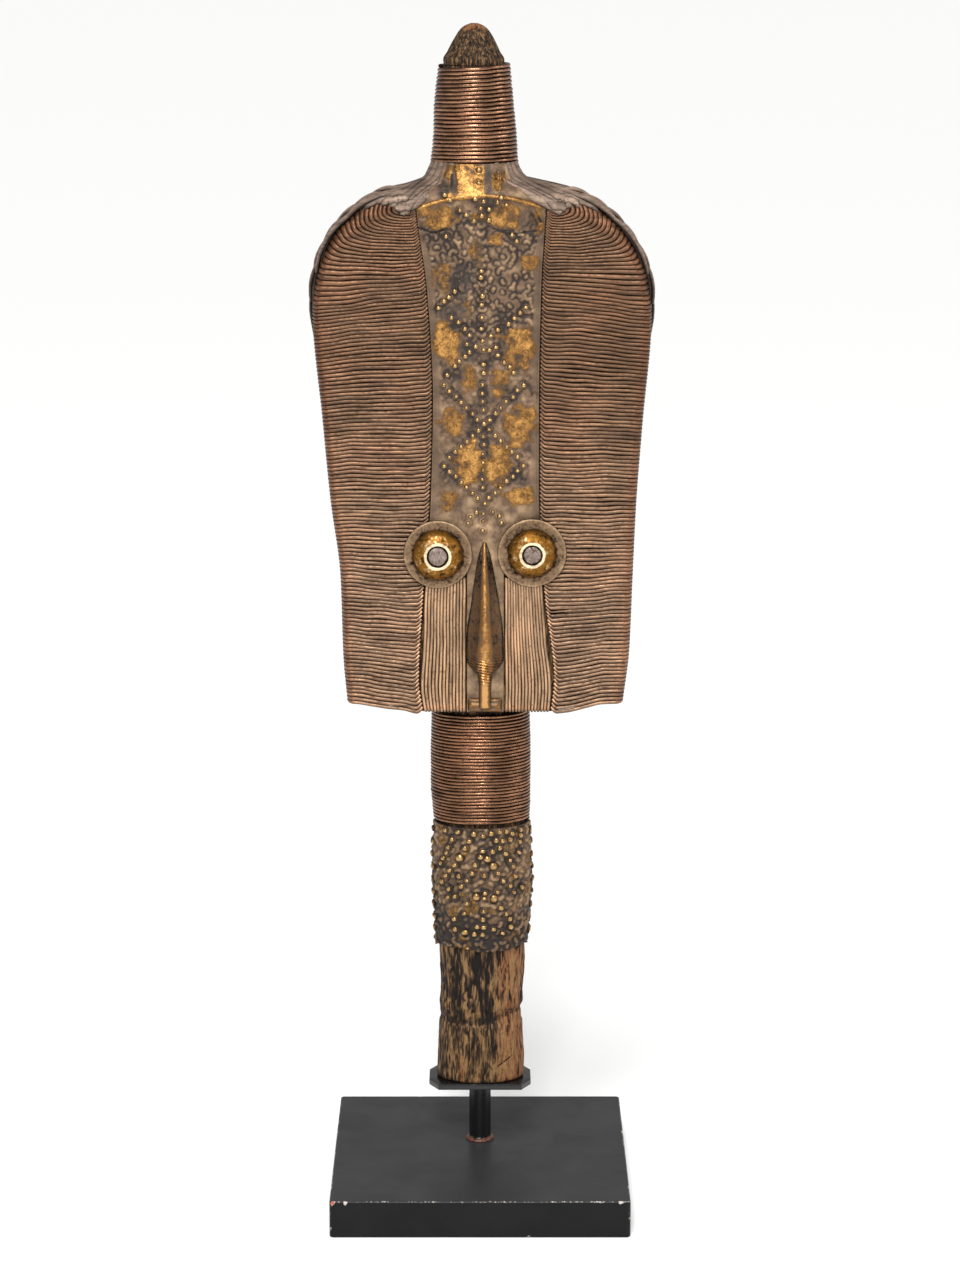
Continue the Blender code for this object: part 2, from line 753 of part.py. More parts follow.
def strip_rows():
    """Rows of points over the outside of the brass strip, chin to finial."""
    rows = []
    tongue_rows = [z for z in bed_heights() if TONGUE_LOW_Z < z < TONGUE_HIGH_Z]
    for z in (TONGUE_LOW_Z, *tongue_rows, TONGUE_HIGH_Z):
        width = TONGUE_RIGHT - TONGUE_LEFT
        row = [TONGUE_LEFT + width * share for share in STRIP_COLUMNS]
        rows.append([Vector((x, face_y(x, z) + STRIP_SINK, z)) for x in row])
    wide_rows = [STRIP_WIDE_Z] + [z for z in bed_heights() if z > STRIP_WIDE_Z]
    for z in wide_rows:
        left, right = strip_edges(z)
        row = []
        for share in STRIP_COLUMNS:
            x = left + (right - left) * share
            lip = STRIP_LIP if share in (0.0, 1.0) and z > STRIP_WIDE_Z else 0.0
            row.append(Vector((x, face_y(x, z) + STRIP_SINK - lip, z)))
        rows.append(row)
    left, right = strip_edges(BROW_Z)
    crest = []
    for share in STRIP_COLUMNS:
        x = left + (right - left) * share
        z = BROW_CREST_Z - BROW_ARCH * abs(2.0 * share - 1.0) ** 2
        crest.append(Vector((x, face_y(x, z) + STRIP_SINK, z)))
    rows.append(crest)
    for z, depth, half_width, radius in TAB:
        row = []
        for share in STRIP_COLUMNS:
            across = half_width * (2.0 * share - 1.0)
            y = FIGURE_Y - depth * math.sqrt(1.0 - (across / radius) ** 2)
            row.append(Vector((TAB_MIDDLE_X + across, y, z)))
        rows.append(row)
    return rows


def face_studs():
    """Places of the studs on the strip: a middle line, crossing lozenges and an arch between the eyes."""
    flat = []
    count = int((LOZENGE_NODES[0] - LOZENGE_NODES[-1]) / STUD_PITCH)
    flat += [Vector((HEAD_X, LOZENGE_NODES[0] - STUD_PITCH * i)) for i in range(count + 1)]
    for high, low in zip(LOZENGE_NODES, LOZENGE_NODES[1:]):
        middle = (high + low) / 2.0
        for side in (-1, 1):
            for start in (high, low):
                for i in range(1, LOZENGE_STUDS + 1):
                    part = i / LOZENGE_STUDS
                    x = HEAD_X + side * LOZENGE_HALF_WIDTH * part
                    flat.append(Vector((x, start + (middle - start) * part)))
    for i in range(EYE_ARCH_STUDS):
        angle = math.pi * i / (EYE_ARCH_STUDS - 1)
        x = HEAD_X + EYE_ARCH_RADIUS * math.cos(angle)
        flat.append(Vector((x, EYE_ARCH_Z + EYE_ARCH_RADIUS * 0.5 * math.sin(angle))))
    outward = Vector((0.0, -1.0, 0.0))
    places = []
    for point in far_enough(flat, 2.2 * STUD_RADIUS):
        x, z = point
        places.append((Vector((x, face_y(x, z) + STRIP_SINK, z)), outward))
    return places


def make_strip(collection, material):
    """Brass sheet down the middle of the face, with its studs."""
    bm = bmesh.new()
    add_rows(bm, strip_rows(), closed=False)
    strip = add_piece("face_strip", bm, collection, material)
    sheet = strip.modifiers.new("Sheet", "SOLIDIFY")
    sheet.thickness = STRIP_THICKNESS
    sheet.offset = -1.0
    studs = add_piece("face_studs", stud_field(face_studs()), collection, material)
    boolean(strip, studs, "UNION")


def make_sleeve(collection, material):
    """Studded brass sheet round the lower neck."""
    low = SLEEVE[0][0]
    high = SLEEVE[-1][0]
    bm = bmesh.new()
    outer = add_rows(bm, [ring(*station) for station in SLEEVE], closed=True)
    inner = add_rows(bm, [ring(*station) for station in shrunk(SLEEVE, SLEEVE_THICKNESS)], closed=True)
    for end in (0, -1):
        for i in range(ROUND_SIDES):
            j = (i + 1) % ROUND_SIDES
            bm.faces.new((outer[end][i], outer[end][j], inner[end][j], inner[end][i]))
    sleeve = add_piece("neck_sleeve", bm, collection, material)
    places = []
    for row in range(SLEEVE_STUD_ROWS):
        z = low + (high - low) * (row + 0.7) / (SLEEVE_STUD_ROWS + 0.4)
        middle, half_width, half_depth = smooth_between(SLEEVE, z)
        for i in range(SLEEVE_STUDS_ROUND):
            share = (i + 0.5 * (row % 2)) / SLEEVE_STUDS_ROUND - 0.5
            angle = -math.pi / 2.0 + SLEEVE_STUD_ARC * share
            x = middle + half_width * math.cos(angle)
            y = FIGURE_Y + half_depth * math.sin(angle)
            outward = Vector((math.cos(angle) / half_width, math.sin(angle) / half_depth, 0.0)).normalized()
            places.append((Vector((x, y, z)) - outward * STUD_ROOT / 2.0, outward))
    studs = add_piece("sleeve_studs", stud_field(places), collection, material)
    boolean(sleeve, studs, "UNION")


def make_cheek(name, stations, collection, material):
    """Band of upright wires beside the nose, rounded under the chin."""
    heights = [
        (stations[0][0], CHEEK_ROUND),
        (stations[0][0] + CHEEK_ROUND, 0.0),
        (stations[1][0], 0.0),
        (stations[2][0], 0.0),
        (stations[-1][0], 0.0),
    ]
    count = 2 * CHEEK_RIBS
    rows = []
    for z, sink in heights:
        inner_x, outer_x = smooth_between(stations, z)
        row = []
        for column in range(count + 1):
            x = inner_x + (outer_x - inner_x) * column / count
            drop = RIB_DEPTH if column % 2 == 0 else 0.0
            row.append(Vector((x, face_y(x, z) + sink + drop, z)))
        for x in (outer_x, inner_x):
            row.append(Vector((x, face_y(x, z) + CHANNEL_DEPTH - GAP, z)))
        rows.append(row)
    add_piece(name, capped_loft(rows), collection, material, crease_angle=20.0)


def make_nose(collection, material):
    """Folded brass nose: side sheets, polished ridge, the rod below it and its small foot."""
    seat = STRIP_SINK - GAP
    rows = []
    for z, middle, sheet, ridge, height in reversed(NOSE):
        back = face_y(middle, z) + seat
        flank = ridge + 0.4 * (sheet - ridge)
        flank_height = 0.0006 + 0.32 * height
        row = [
            (-sheet, 0.0),
            (-sheet, 0.0004),
            (-flank, flank_height),
            (-ridge, 0.82 * height),
            (0.0, height),
            (ridge, 0.82 * height),
            (flank, flank_height),
            (sheet, 0.0004),
            (sheet, 0.0),
        ]
        rows.append([Vector((middle + x, back - rise, z)) for x, rise in row])
    nose = add_piece("nose", capped_loft(rows), collection, material)
    face = face_y(HEAD_X, NOSE_FOOT_TOP) + seat - 0.0001
    low = (NOSE_FOOT_LEFT, face - NOSE_FOOT_HEIGHT, NOSE_FOOT_BOTTOM)
    high = (NOSE_FOOT_RIGHT, face, NOSE_FOOT_TOP)
    foot = add_piece("nose_foot", box_bmesh(low, high), collection, material)
    boolean(nose, foot, "UNION")


def make_eye(side, eye, collection, materials):
    """Washer, domed boss and pin of one eye, leaning with the face."""
    x, z, washer_radius, boss_radius, pin_radius = eye
    slope = (face_y(x, z + washer_radius) - face_y(x, z - washer_radius)) / (2.0 * washer_radius)
    lean = math.pi / 2.0 - math.atan(slope)
    hole = boss_radius * WASHER_HOLE_SHARE
    washer = (
        (hole, WASHER_THICKNESS),
        (washer_radius - 0.0003, WASHER_THICKNESS),
        (washer_radius, WASHER_THICKNESS - 0.0003),
        (washer_radius, 0.0),
        (hole, 0.0),
        (hole, WASHER_THICKNESS),
    )
    boss_low = WASHER_THICKNESS + GAP
    boss_top = boss_low + BOSS_HEIGHT
    hole_radius = pin_radius + GAP
    seat = boss_top - PIN_RECESS - BOSS_WALL
    boss = [(0.0, seat), (hole_radius, seat), (hole_radius, boss_top - 0.0002)]
    for i in range(BOSS_RINGS + 1):
        angle = math.radians(BOSS_START_ANGLE) * (1.0 - i / BOSS_RINGS)
        radius = hole_radius + 0.0006 + (boss_radius - hole_radius - 0.0006) * math.cos(angle)
        boss.append((radius, boss_low + BOSS_HEIGHT * math.sin(angle)))
    boss.append((0.0, boss_low))
    pin_low = seat + GAP
    pin_top = boss_top - PIN_RECESS
    pin = (
        (0.0, pin_top + 0.0003),
        (pin_radius * 0.75, pin_top + 0.0002),
        (pin_radius, pin_top - 0.0003),
        (pin_radius, pin_low),
        (0.0, pin_low),
    )
    seat_y = face_y(x, z) - EYE_STANDOFF
    for kind, profile, material in (
        ("eye_washer", washer, materials[0]),
        ("eye_boss", boss, materials[1]),
        ("eye_pin", pin, materials[2]),
    ):
        piece = turned(f"{kind}_{side}", profile, collection, material, EYE_SIDES)
        piece.location = (x, seat_y, z)
        piece.rotation_euler = (lean, 0.0, 0.0)


def make_binding(name, half, reach, collection, material):
    """Flat bundle of strands along the back of one shoulder, thickest beside the finial."""
    rows = []
    for length, thickness, width, lift in BINDING:
        beyond = max(0.0, length) / BINDING[-1][0] * reach
        rim, normal = half.rim(half.length + min(0.0, length))
        upward = max(0.0, normal[1])
        depth = RIM_DEPTH_SIDE + (RIM_DEPTH_TOP - RIM_DEPTH_SIDE) * upward
        bend_z = rim[1] - RIM_INSET_TOP * upward
        y = face_y(half.sign * rim[0], bend_z) + depth + BINDING_BEHIND
        row = []
        for i in range(BINDING_SIDES):
            angle = 2.0 * math.pi * i / BINDING_SIDES
            along = lift + thickness * math.cos(angle)
            x = rim[0] + along * normal[0] - beyond
            z = rim[1] + along * normal[1] + beyond * BINDING_RISE
            row.append(Vector((half.sign * x, y + width * math.sin(angle), z)))
        rows.append(row)
    add_piece(name, capped_loft(rows), collection, material)


def build():
    """Make every piece of the figure and its stand."""
    clear_scene()
    collection = new_collection("kota_reliquary_figure")
    wood = new_material("dark_carved_wood", WOOD, 0.65, 0.0)
    copper = new_material("aged_copper_wire", COPPER_WIRE, 0.42, 1.0)
    dark_wire = new_material("patinated_wire_bundle", PATINATED_WIRE, 0.6, 0.7)
    brass = new_material("aged_brass_sheet", AGED_BRASS, 0.42, 1.0)
    bright = new_material("bright_brass", BRIGHT_BRASS, 0.25, 1.0)
    dull = new_material("dull_brass_washer", DULL_BRASS, 0.5, 0.9)
    iron = new_material("worn_iron_pin", IRON_PIN, 0.45, 0.9)
    black = new_material("black_satin_paint", BLACK_PAINT, 0.4, 0.0)

    make_plinth(collection, black)
    make_post(collection, black)
    make_plate(collection, black)
    make_core(collection, wood)
    make_panel("wire_panel_left", LEFT, collection, copper)
    make_panel("wire_panel_right", RIGHT, collection, copper)
    make_wrap("neck_wrap", NECK, neck_low, NECK[-1][0], NECK_RIBS, collection, copper)
    make_wrap("finial_wrap", FINIAL, finial_low, FINIAL[-1][0], FINIAL_RIBS, collection, copper)
    make_sleeve(collection, brass)
    make_strip(collection, brass)
    make_cheek("cheek_wires_left", LEFT_CHEEK, collection, copper)
    make_cheek("cheek_wires_right", RIGHT_CHEEK, collection, copper)
    make_nose(collection, bright)
    make_eye("left", LEFT_EYE, collection, (dull, bright, iron))
    make_eye("right", RIGHT_EYE, collection, (dull, bright, iron))
    make_binding("shoulder_binding_left", LEFT, LEFT_BINDING_REACH, collection, dark_wire)
    make_binding("shoulder_binding_right", RIGHT, RIGHT_BINDING_REACH, collection, dark_wire)


build()
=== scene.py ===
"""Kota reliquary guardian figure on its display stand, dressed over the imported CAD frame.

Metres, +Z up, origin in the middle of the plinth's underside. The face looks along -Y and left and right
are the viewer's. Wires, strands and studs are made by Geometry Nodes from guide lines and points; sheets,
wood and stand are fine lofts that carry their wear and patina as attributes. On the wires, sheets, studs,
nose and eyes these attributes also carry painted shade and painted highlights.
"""

import logging
import random
from dataclasses import dataclass, field
from enum import Enum
from functools import partial
from math import acos, asin, copysign, cos, dist, exp, hypot, pi, radians, sin, sqrt
from typing import Callable, Sequence

import bmesh
import bpy
import numpy as np
from bpy.types import Material, Mesh, Node, NodeSocket, NodeTree, Object
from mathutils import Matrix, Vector, kdtree, noise


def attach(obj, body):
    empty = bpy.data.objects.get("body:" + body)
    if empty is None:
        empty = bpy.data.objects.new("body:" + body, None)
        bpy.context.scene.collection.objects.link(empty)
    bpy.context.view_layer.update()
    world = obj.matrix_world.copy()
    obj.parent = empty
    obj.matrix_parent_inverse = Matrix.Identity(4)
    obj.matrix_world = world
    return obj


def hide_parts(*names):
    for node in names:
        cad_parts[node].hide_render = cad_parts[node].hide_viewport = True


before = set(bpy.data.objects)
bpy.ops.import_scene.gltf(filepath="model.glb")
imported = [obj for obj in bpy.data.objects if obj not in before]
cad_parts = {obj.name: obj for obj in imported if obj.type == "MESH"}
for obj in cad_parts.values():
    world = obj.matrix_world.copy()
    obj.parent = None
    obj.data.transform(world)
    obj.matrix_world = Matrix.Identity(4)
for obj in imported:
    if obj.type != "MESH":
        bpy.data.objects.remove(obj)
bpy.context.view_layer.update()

LOG = logging.getLogger("kota_figure")
BODY = "root"

Stations = Sequence[tuple[float, ...]]
Triple = tuple[float, float, float]


class Side(Enum):
    """The viewer's left or right, as the sign of x."""

    LEFT = -1
    RIGHT = 1


class Slot(Enum):
    """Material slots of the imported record."""

    PAINTED_WOOD = "black_satin_paint"
    PAINTED_STEEL = "black_painted_steel"
    WOOD = "dark_carved_wood"
    WIRE = "aged_copper_wire"
    STRANDS = "patinated_wire_bundle"
    SHEET = "aged_brass_sheet"
    BRIGHT = "bright_brass"
    WASHER = "dull_brass_washer"
    PIN = "worn_iron_pin"


# Shape of the figure, the same values as the solids but for the foot's step and the tip, which are softer

FIGURE_Y = 0.012
HEAD_X = 0.0018
FACE_PROFILE = ((0.235, 0.0235), (0.262, 0.0222), (0.3, 0.0206), (0.35, 0.0196), (0.4, 0.0201), (0.44, 0.0222),
    (0.47, 0.0256), (0.478, 0.027), (0.49, 0.0275))
FACE_CROWN = 0.001
FACE_HALF_WIDTH = 0.0768
CHIN_Z = 0.2362
BROW_Z = 0.47


def between(stations: Stations, at: float) -> tuple[float, ...]:
    """Values at a place between stations, on a smooth curve that never swings past them.

    Args:
        stations: rows of a place and its values, in rising order of place.
        at: the place.

    Returns:
        One value for each column after the first.
    """
    if at <= stations[0][0]:
        return tuple(stations[0][1:])
    if at >= stations[-1][0]:
        return tuple(stations[-1][1:])
    index = max(i for i in range(len(stations) - 1) if stations[i][0] <= at)
    low, high = stations[index], stations[index + 1]
    span = high[0] - low[0]
    part = (at - low[0]) / span
    square, cube = part * part, part ** 3
    values = []
    for column in range(1, len(low)):
        chord = (high[column] - low[column]) / span
        tangents = []
        for end in (index, index + 1):
            if end in (0, len(stations) - 1):
                tangents.append(chord)
                continue
            here, prior, after = stations[end], stations[end - 1], stations[end + 1]
            back = (here[column] - prior[column]) / (here[0] - prior[0])
            ahead = (after[column] - here[column]) / (after[0] - here[0])
            tangents.append(2.0 * back * ahead / (back + ahead) if back * ahead > 0.0 else 0.0)
        values.append(low[column] * (2.0 * cube - 3.0 * square + 1.0)
            + tangents[0] * span * (cube - 2.0 * square + part) + high[column] * (3.0 * square - 2.0 * cube)
            + tangents[1] * span * (cube - square))
    return tuple(values)


def face_y(x: float, z: float) -> float:
    """Depth of the face's outer surface at a place across and up."""
    depth = between(FACE_PROFILE, z)[0]
    return FIGURE_Y - depth + FACE_CROWN * min(1.0, abs(x - HEAD_X) / FACE_HALF_WIDTH) ** 2


def fade(value: float, low: float, high: float) -> float:
    """Smooth rise from 0 at low to 1 at high, or fall where low is the greater."""
    part = min(1.0, max(0.0, (value - low) / (high - low)))
    return part * part * (3.0 - 2.0 * part)


def oval(station: tuple[float, ...], z: float, angle: float, grow: float = 0.0) -> Vector:
    """Point on an oval ring about the figure's axis.

    Args:
        station: middle across, half width and half depth of the ring.
        z: height of the ring.
        angle: direction round the axis, 0 to the viewer's right and -90 degrees in front.
        grow: distance that the ring is moved outwards.

    Returns:
        The point.
    """
    middle, half_width, half_depth = station
    x = middle + (half_width + grow) * cos(angle)
    return Vector((x, FIGURE_Y + (half_depth + grow) * sin(angle), z))


def oval_out(station: tuple[float, ...], angle: float) -> Vector:
    """Outward direction of an oval ring at an angle."""
    return Vector((cos(angle) / station[1], sin(angle) / station[2], 0.0)).normalized()


def wave(x: float, y: float, z: float) -> float:
    """Smooth noise from -1 to 1 at three numbers."""
    return noise.noise(Vector((x, y, z)))


def ragged(point: Vector, length: float, octaves: int = 3) -> float:
    """Fractal noise from about -1 to 1 whose largest lumps are about one length across."""
    return noise.fractal(point / length, 1.0, 2.0, octaves)


@dataclass(frozen=True)
class HeadHalf:
    """One half of the leaf-shaped head: its outline, and the edge of the brass strip beside it."""

    side: Side
    outline: Stations
    strip_edge: Stations
    fan_start_z: float = 0.43
    fan_length: float = 0.185
    fan_growth: float = 1.6
    inset_side: float = 0.0034
    inset_top: float = 0.0095
    depth_side: float = 0.008
    depth_top: float = 0.0115
    board: float = 0.022
    back_round: float = 0.006
    return_side: float = 0.022
    return_top: float = 0.015
    stations: Stations = field(init=False)

    def __post_init__(self) -> None:
        """Measure lengths along the outline."""
        lengths = [0.0]
        for before, after in zip(self.outline, self.outline[1:]):
            lengths.append(lengths[-1] + dist(before, after))
        rows = tuple((s, x, z) for s, (x, z) in zip(lengths, self.outline))
        object.__setattr__(self, "stations", rows)

    @property
    def length(self) -> float:
        """Whole length of the outline, chin corner to finial."""
        return self.stations[-1][0]

    def rim(self, s: float) -> tuple[tuple[float, ...], tuple[float, float]]:
        """Outline point and outward normal at a length along the outline."""
        step = 0.0015
        before = between(self.stations, s - step)
        after = between(self.stations, s + step)
        run = (after[0] - before[0], after[1] - before[1])
        size = hypot(*run)
        return between(self.stations, s), (run[1] / size, -run[0] / size)

    def rim_length(self, strip_z: float) -> float:
        """Length along the outline where the wire that leaves the strip at this height comes to."""
        rate = self.fan_length / (self.fan_start_z - CHIN_Z)
        if strip_z <= self.fan_start_z:
            return rate * (strip_z - CHIN_Z)
        part = (strip_z - self.fan_start_z) / (BROW_Z - self.fan_start_z)
        run = rate * (BROW_Z - self.fan_start_z)
        rest = self.length - self.fan_length - run
        return self.fan_length + run * part + rest * part ** self.fan_growth

    def rim_shape(self, normal: tuple[float, float]) -> Triple:
        """Inset of the bend, depth of the front roll and back return, which grow up the shoulders."""
        upward = max(0.0, normal[1])
        inset = self.inset_side + (self.inset_top - self.inset_side) * upward ** 1.5
        depth = self.depth_side + (self.depth_top - self.depth_side) * upward
        return inset, depth, self.return_side + (self.return_top - self.return_side) * upward

    def over_rim(self, s: float, turn: float, sink: float) -> tuple[Vector, Vector]:
        """Point and outward direction on the roll over the rim.

        Args:
            s: length along the outline.
            turn: degrees, 0 on the face's bend, 90 on the outline and 180 on the back.
            sink: distance below the outer skin.

        Returns:
            The point and the outward direction.
        """
        rim, normal = self.rim(s)
        inset, depth, _ = self.rim_shape(normal)
        sign = self.side.value
        face = face_y(sign * (rim[0] - inset * normal[0]), rim[1] - inset * normal[1])
        angle = radians(turn)
        if turn <= 90.0:
            along = -inset * (1.0 - sin(angle))
            y = face + depth * (1.0 - cos(angle))
            lean = Vector((depth * sin(angle), -inset * cos(angle))).normalized()
        else:
            back = self.board - depth
            along = -self.back_round * (1.0 - sin(angle))
            y = face + depth - back * cos(angle)
            lean = Vector((back * sin(angle), -self.back_round * cos(angle))).normalized()
        along -= sink * lean[0]
        point = Vector((sign * (rim[0] + along * normal[0]), y - sink * lean[1], rim[1] + along * normal[1]))
        return point, Vector((sign * lean[0] * normal[0], lean[1], lean[0] * normal[1])).normalized()


LEFT_HALF = HeadHalf(Side.LEFT, outline=((0.0622, 0.2405), (0.064, 0.262), (0.0651, 0.3), (0.0695, 0.3362),
    (0.0728, 0.3736), (0.0768, 0.423), (0.074, 0.443), (0.0672, 0.4588), (0.055, 0.4715), (0.042, 0.4785),
    (0.033, 0.4805)), strip_edge=((0.2362, 0.0266), (0.25, 0.0285), (0.2924, 0.0262), (0.3361, 0.0233),
    (0.3849, 0.0221), (0.4326, 0.0245), (0.47, 0.0292), (0.48, 0.0298)))
RIGHT_HALF = HeadHalf(Side.RIGHT, outline=((0.067, 0.2405), (0.0699, 0.265), (0.0712, 0.3), (0.0726, 0.3343),
    (0.0751, 0.3713), (0.0787, 0.42), (0.0763, 0.44), (0.069, 0.4562), (0.0575, 0.4693), (0.044, 0.4775),
    (0.0345, 0.4808)), strip_edge=((0.2362, 0.033), (0.25, 0.0345), (0.2924, 0.0298), (0.3361, 0.0277),
    (0.3849, 0.0276), (0.4362, 0.0284), (0.47, 0.0302), (0.48, 0.0305)))
HALVES = (LEFT_HALF, RIGHT_HALF)

# Height, middle across, half width and half depth of the round lengths' outer skins
FOOT = ((0.051, 0.0003, 0.0213, 0.015), (0.064, 0.0003, 0.021, 0.015), (0.078, 0.0004, 0.0204, 0.0147),
    (0.0812, 0.0002, 0.0198, 0.0142), (0.085, 0.0002, 0.0198, 0.0142), (0.0885, 0.0005, 0.0204, 0.0147),
    (0.094, 0.0007, 0.0201, 0.0146), (0.108, 0.001, 0.0208, 0.015), (0.1165, 0.0009, 0.0208, 0.0152),
    (0.12, 0.0009, 0.0208, 0.0152))
SLEEVE = ((0.118, 0.0008, 0.0224, 0.0166), (0.13, 0.0009, 0.0227, 0.0168), (0.149, 0.0012, 0.0238, 0.0172),
    (0.164, 0.0008, 0.0237, 0.0172), (0.1787, 0.0008, 0.0228, 0.0168))
NECK = ((0.179, 0.0008, 0.0229, 0.0168), (0.197, 0.0003, 0.0238, 0.017), (0.212, 0.0003, 0.0238, 0.017),
    (0.2335, 0.0003, 0.0233, 0.0168))
FINIAL = ((0.4815, -0.0026, 0.0226, 0.0178), (0.487, -0.0026, 0.0207, 0.017), (0.5027, -0.0023, 0.0192, 0.0165),
    (0.5165, -0.0028, 0.0183, 0.016), (0.5362, -0.0026, 0.0163, 0.0145))
TIP = ((0.5345, -0.0028, 0.0138, 0.0122), (0.5364, -0.0028, 0.014, 0.0124), (0.5405, -0.0029, 0.0119, 0.0107),
    (0.5449, -0.0028, 0.0097, 0.0087), (0.549, -0.0027, 0.0073, 0.0066), (0.5516, -0.0027, 0.0047, 0.0043),
    (0.5528, -0.0027, 0.0018, 0.0017))


# Node trees and meshes; the names of the node kinds that are used most

MATH = "ShaderNodeMath"
VECTOR_MATH = "ShaderNodeVectorMath"
MIX = "ShaderNodeMix"
RAMP = "ShaderNodeValToRGB"
NOISE = "ShaderNodeTexNoise"
MAP_RANGE = "ShaderNodeMapRange"
BUMP = "ShaderNodeBump"
NAMED = "GeometryNodeInputNamedAttribute"
STORE = "GeometryNodeStoreNamedAttribute"


def linear(hex_colour: str) -> tuple[float, float, float, float]:
    """Linear RGBA of an sRGB hex colour such as #8A6448."""
    values = [int(hex_colour[i:i + 2], 16) / 255.0 for i in (1, 3, 5)]
    return (*[v / 12.92 if v <= 0.04045 else ((v + 0.055) / 1.055) ** 2.4 for v in values], 1.0)


def plug(node: Node, inputs: dict) -> None:
    """Set a node's inputs, by name or number, each to a value or to the output socket that is linked to it."""
    for key, value in inputs.items():
        if isinstance(value, NodeSocket):
            node.id_data.links.new(value, node.inputs[key])
        else:
            node.inputs[key].default_value = value


def add_node(tree: NodeTree, kind: str, inputs: dict | None = None, out: int | str = 0, stops: Sequence = (),
        **settings: object) -> NodeSocket:
    """Add a node with its settings, socket values and links.

    Args:
        tree: node tree that gets the node.
        kind: the node's type name.
        inputs: values or linked output sockets, by the input's name or number.
        out: name or number of the output that is wanted.
        stops: positions and hex colours of a colour ramp.
        settings: the node's own properties.

    Returns:
        The output socket.
    """
    node = tree.nodes.new(kind)
    for name, value in settings.items():
        setattr(node, name, value)
    plug(node, inputs or {})
    if stops:
        elements = node.color_ramp.elements
        while len(elements) < len(stops):
            elements.new(1.0)
        for element, (position, colour) in zip(elements, stops):
            element.position, element.color = position, linear(colour)
    return node.outputs[out]


def make_object(name: str, mesh: Mesh) -> Object:
    """Put a mesh into the scene as an object at the origin."""
    piece = bpy.data.objects.new(name, mesh)
    bpy.context.scene.collection.objects.link(piece)
    return piece


@dataclass
class Skin:
    """Mesh under construction: points, faces and one number per point for each named attribute."""

    names: tuple[str, ...] = ()
    points: list = field(default_factory=list)
    faces: list = field(default_factory=list)
    values: dict = field(default_factory=dict)

    def __post_init__(self) -> None:
        """Start an empty list for each attribute."""
        self.values = {name: [] for name in self.names}

    def add_rings(self, rings: Sequence[Sequence[Vector]], caps: bool = True, loop: bool = False,
            **values: Sequence[Sequence[float]]) -> None:
        """Skin closed rings of one count.

        Args:
            rings: rows of points, each going right round.
            caps: close the first and last ring.
            loop: join the last ring to the first.
            values: attribute rows of the same shape as the rings; those left out are 0.
        """
        first = len(self.points)
        count = len(rings[0])
        for row, ring in enumerate(rings):
            self.points.extend(ring)
            for name in self.names:
                self.values[name].extend(values[name][row] if name in values else [0.0] * count)
        rows = len(rings)
        for row in range(rows if loop else rows - 1):
            low, high = first + row * count, first + (row + 1) % rows * count
            for i in range(count):
                j = (i + 1) % count
                self.faces.append((low + i, low + j, high + j, high + i))
        if caps and not loop:
            self.faces.append(tuple(range(first + count - 1, first - 1, -1)))
            last = first + (rows - 1) * count
            self.faces.append(tuple(range(last, last + count)))

    def finish(self, name: str, crease: float = 40.0) -> Object:
        """Make the object, with merged doubles, faces outwards and smooth shading.

        Args:
            name: the object's name.
            crease: angle in degrees past which an edge stays sharp.

        Returns:
            The object.
        """
        mesh = bpy.data.meshes.new(name)
        mesh.from_pydata([tuple(point) for point in self.points], [], self.faces)
        for key in self.names:
            layer = mesh.attributes.new(key, "FLOAT", "POINT")
            layer.data.foreach_set("value", np.asarray(self.values[key], dtype=np.float32))
        face_out(mesh)
        mesh.shade_smooth()
        mesh.set_sharp_from_angle(angle=radians(crease))
        return make_object(name, mesh)


def face_out(mesh: Mesh) -> None:
    """Merge a mesh's doubles and turn its faces outwards."""
    bm = bmesh.new()
    bm.from_mesh(mesh)
    bmesh.ops.remove_doubles(bm, verts=bm.verts, dist=0.000002)
    bmesh.ops.recalc_face_normals(bm, faces=bm.faces)
    bm.to_mesh(mesh)
    bm.free()


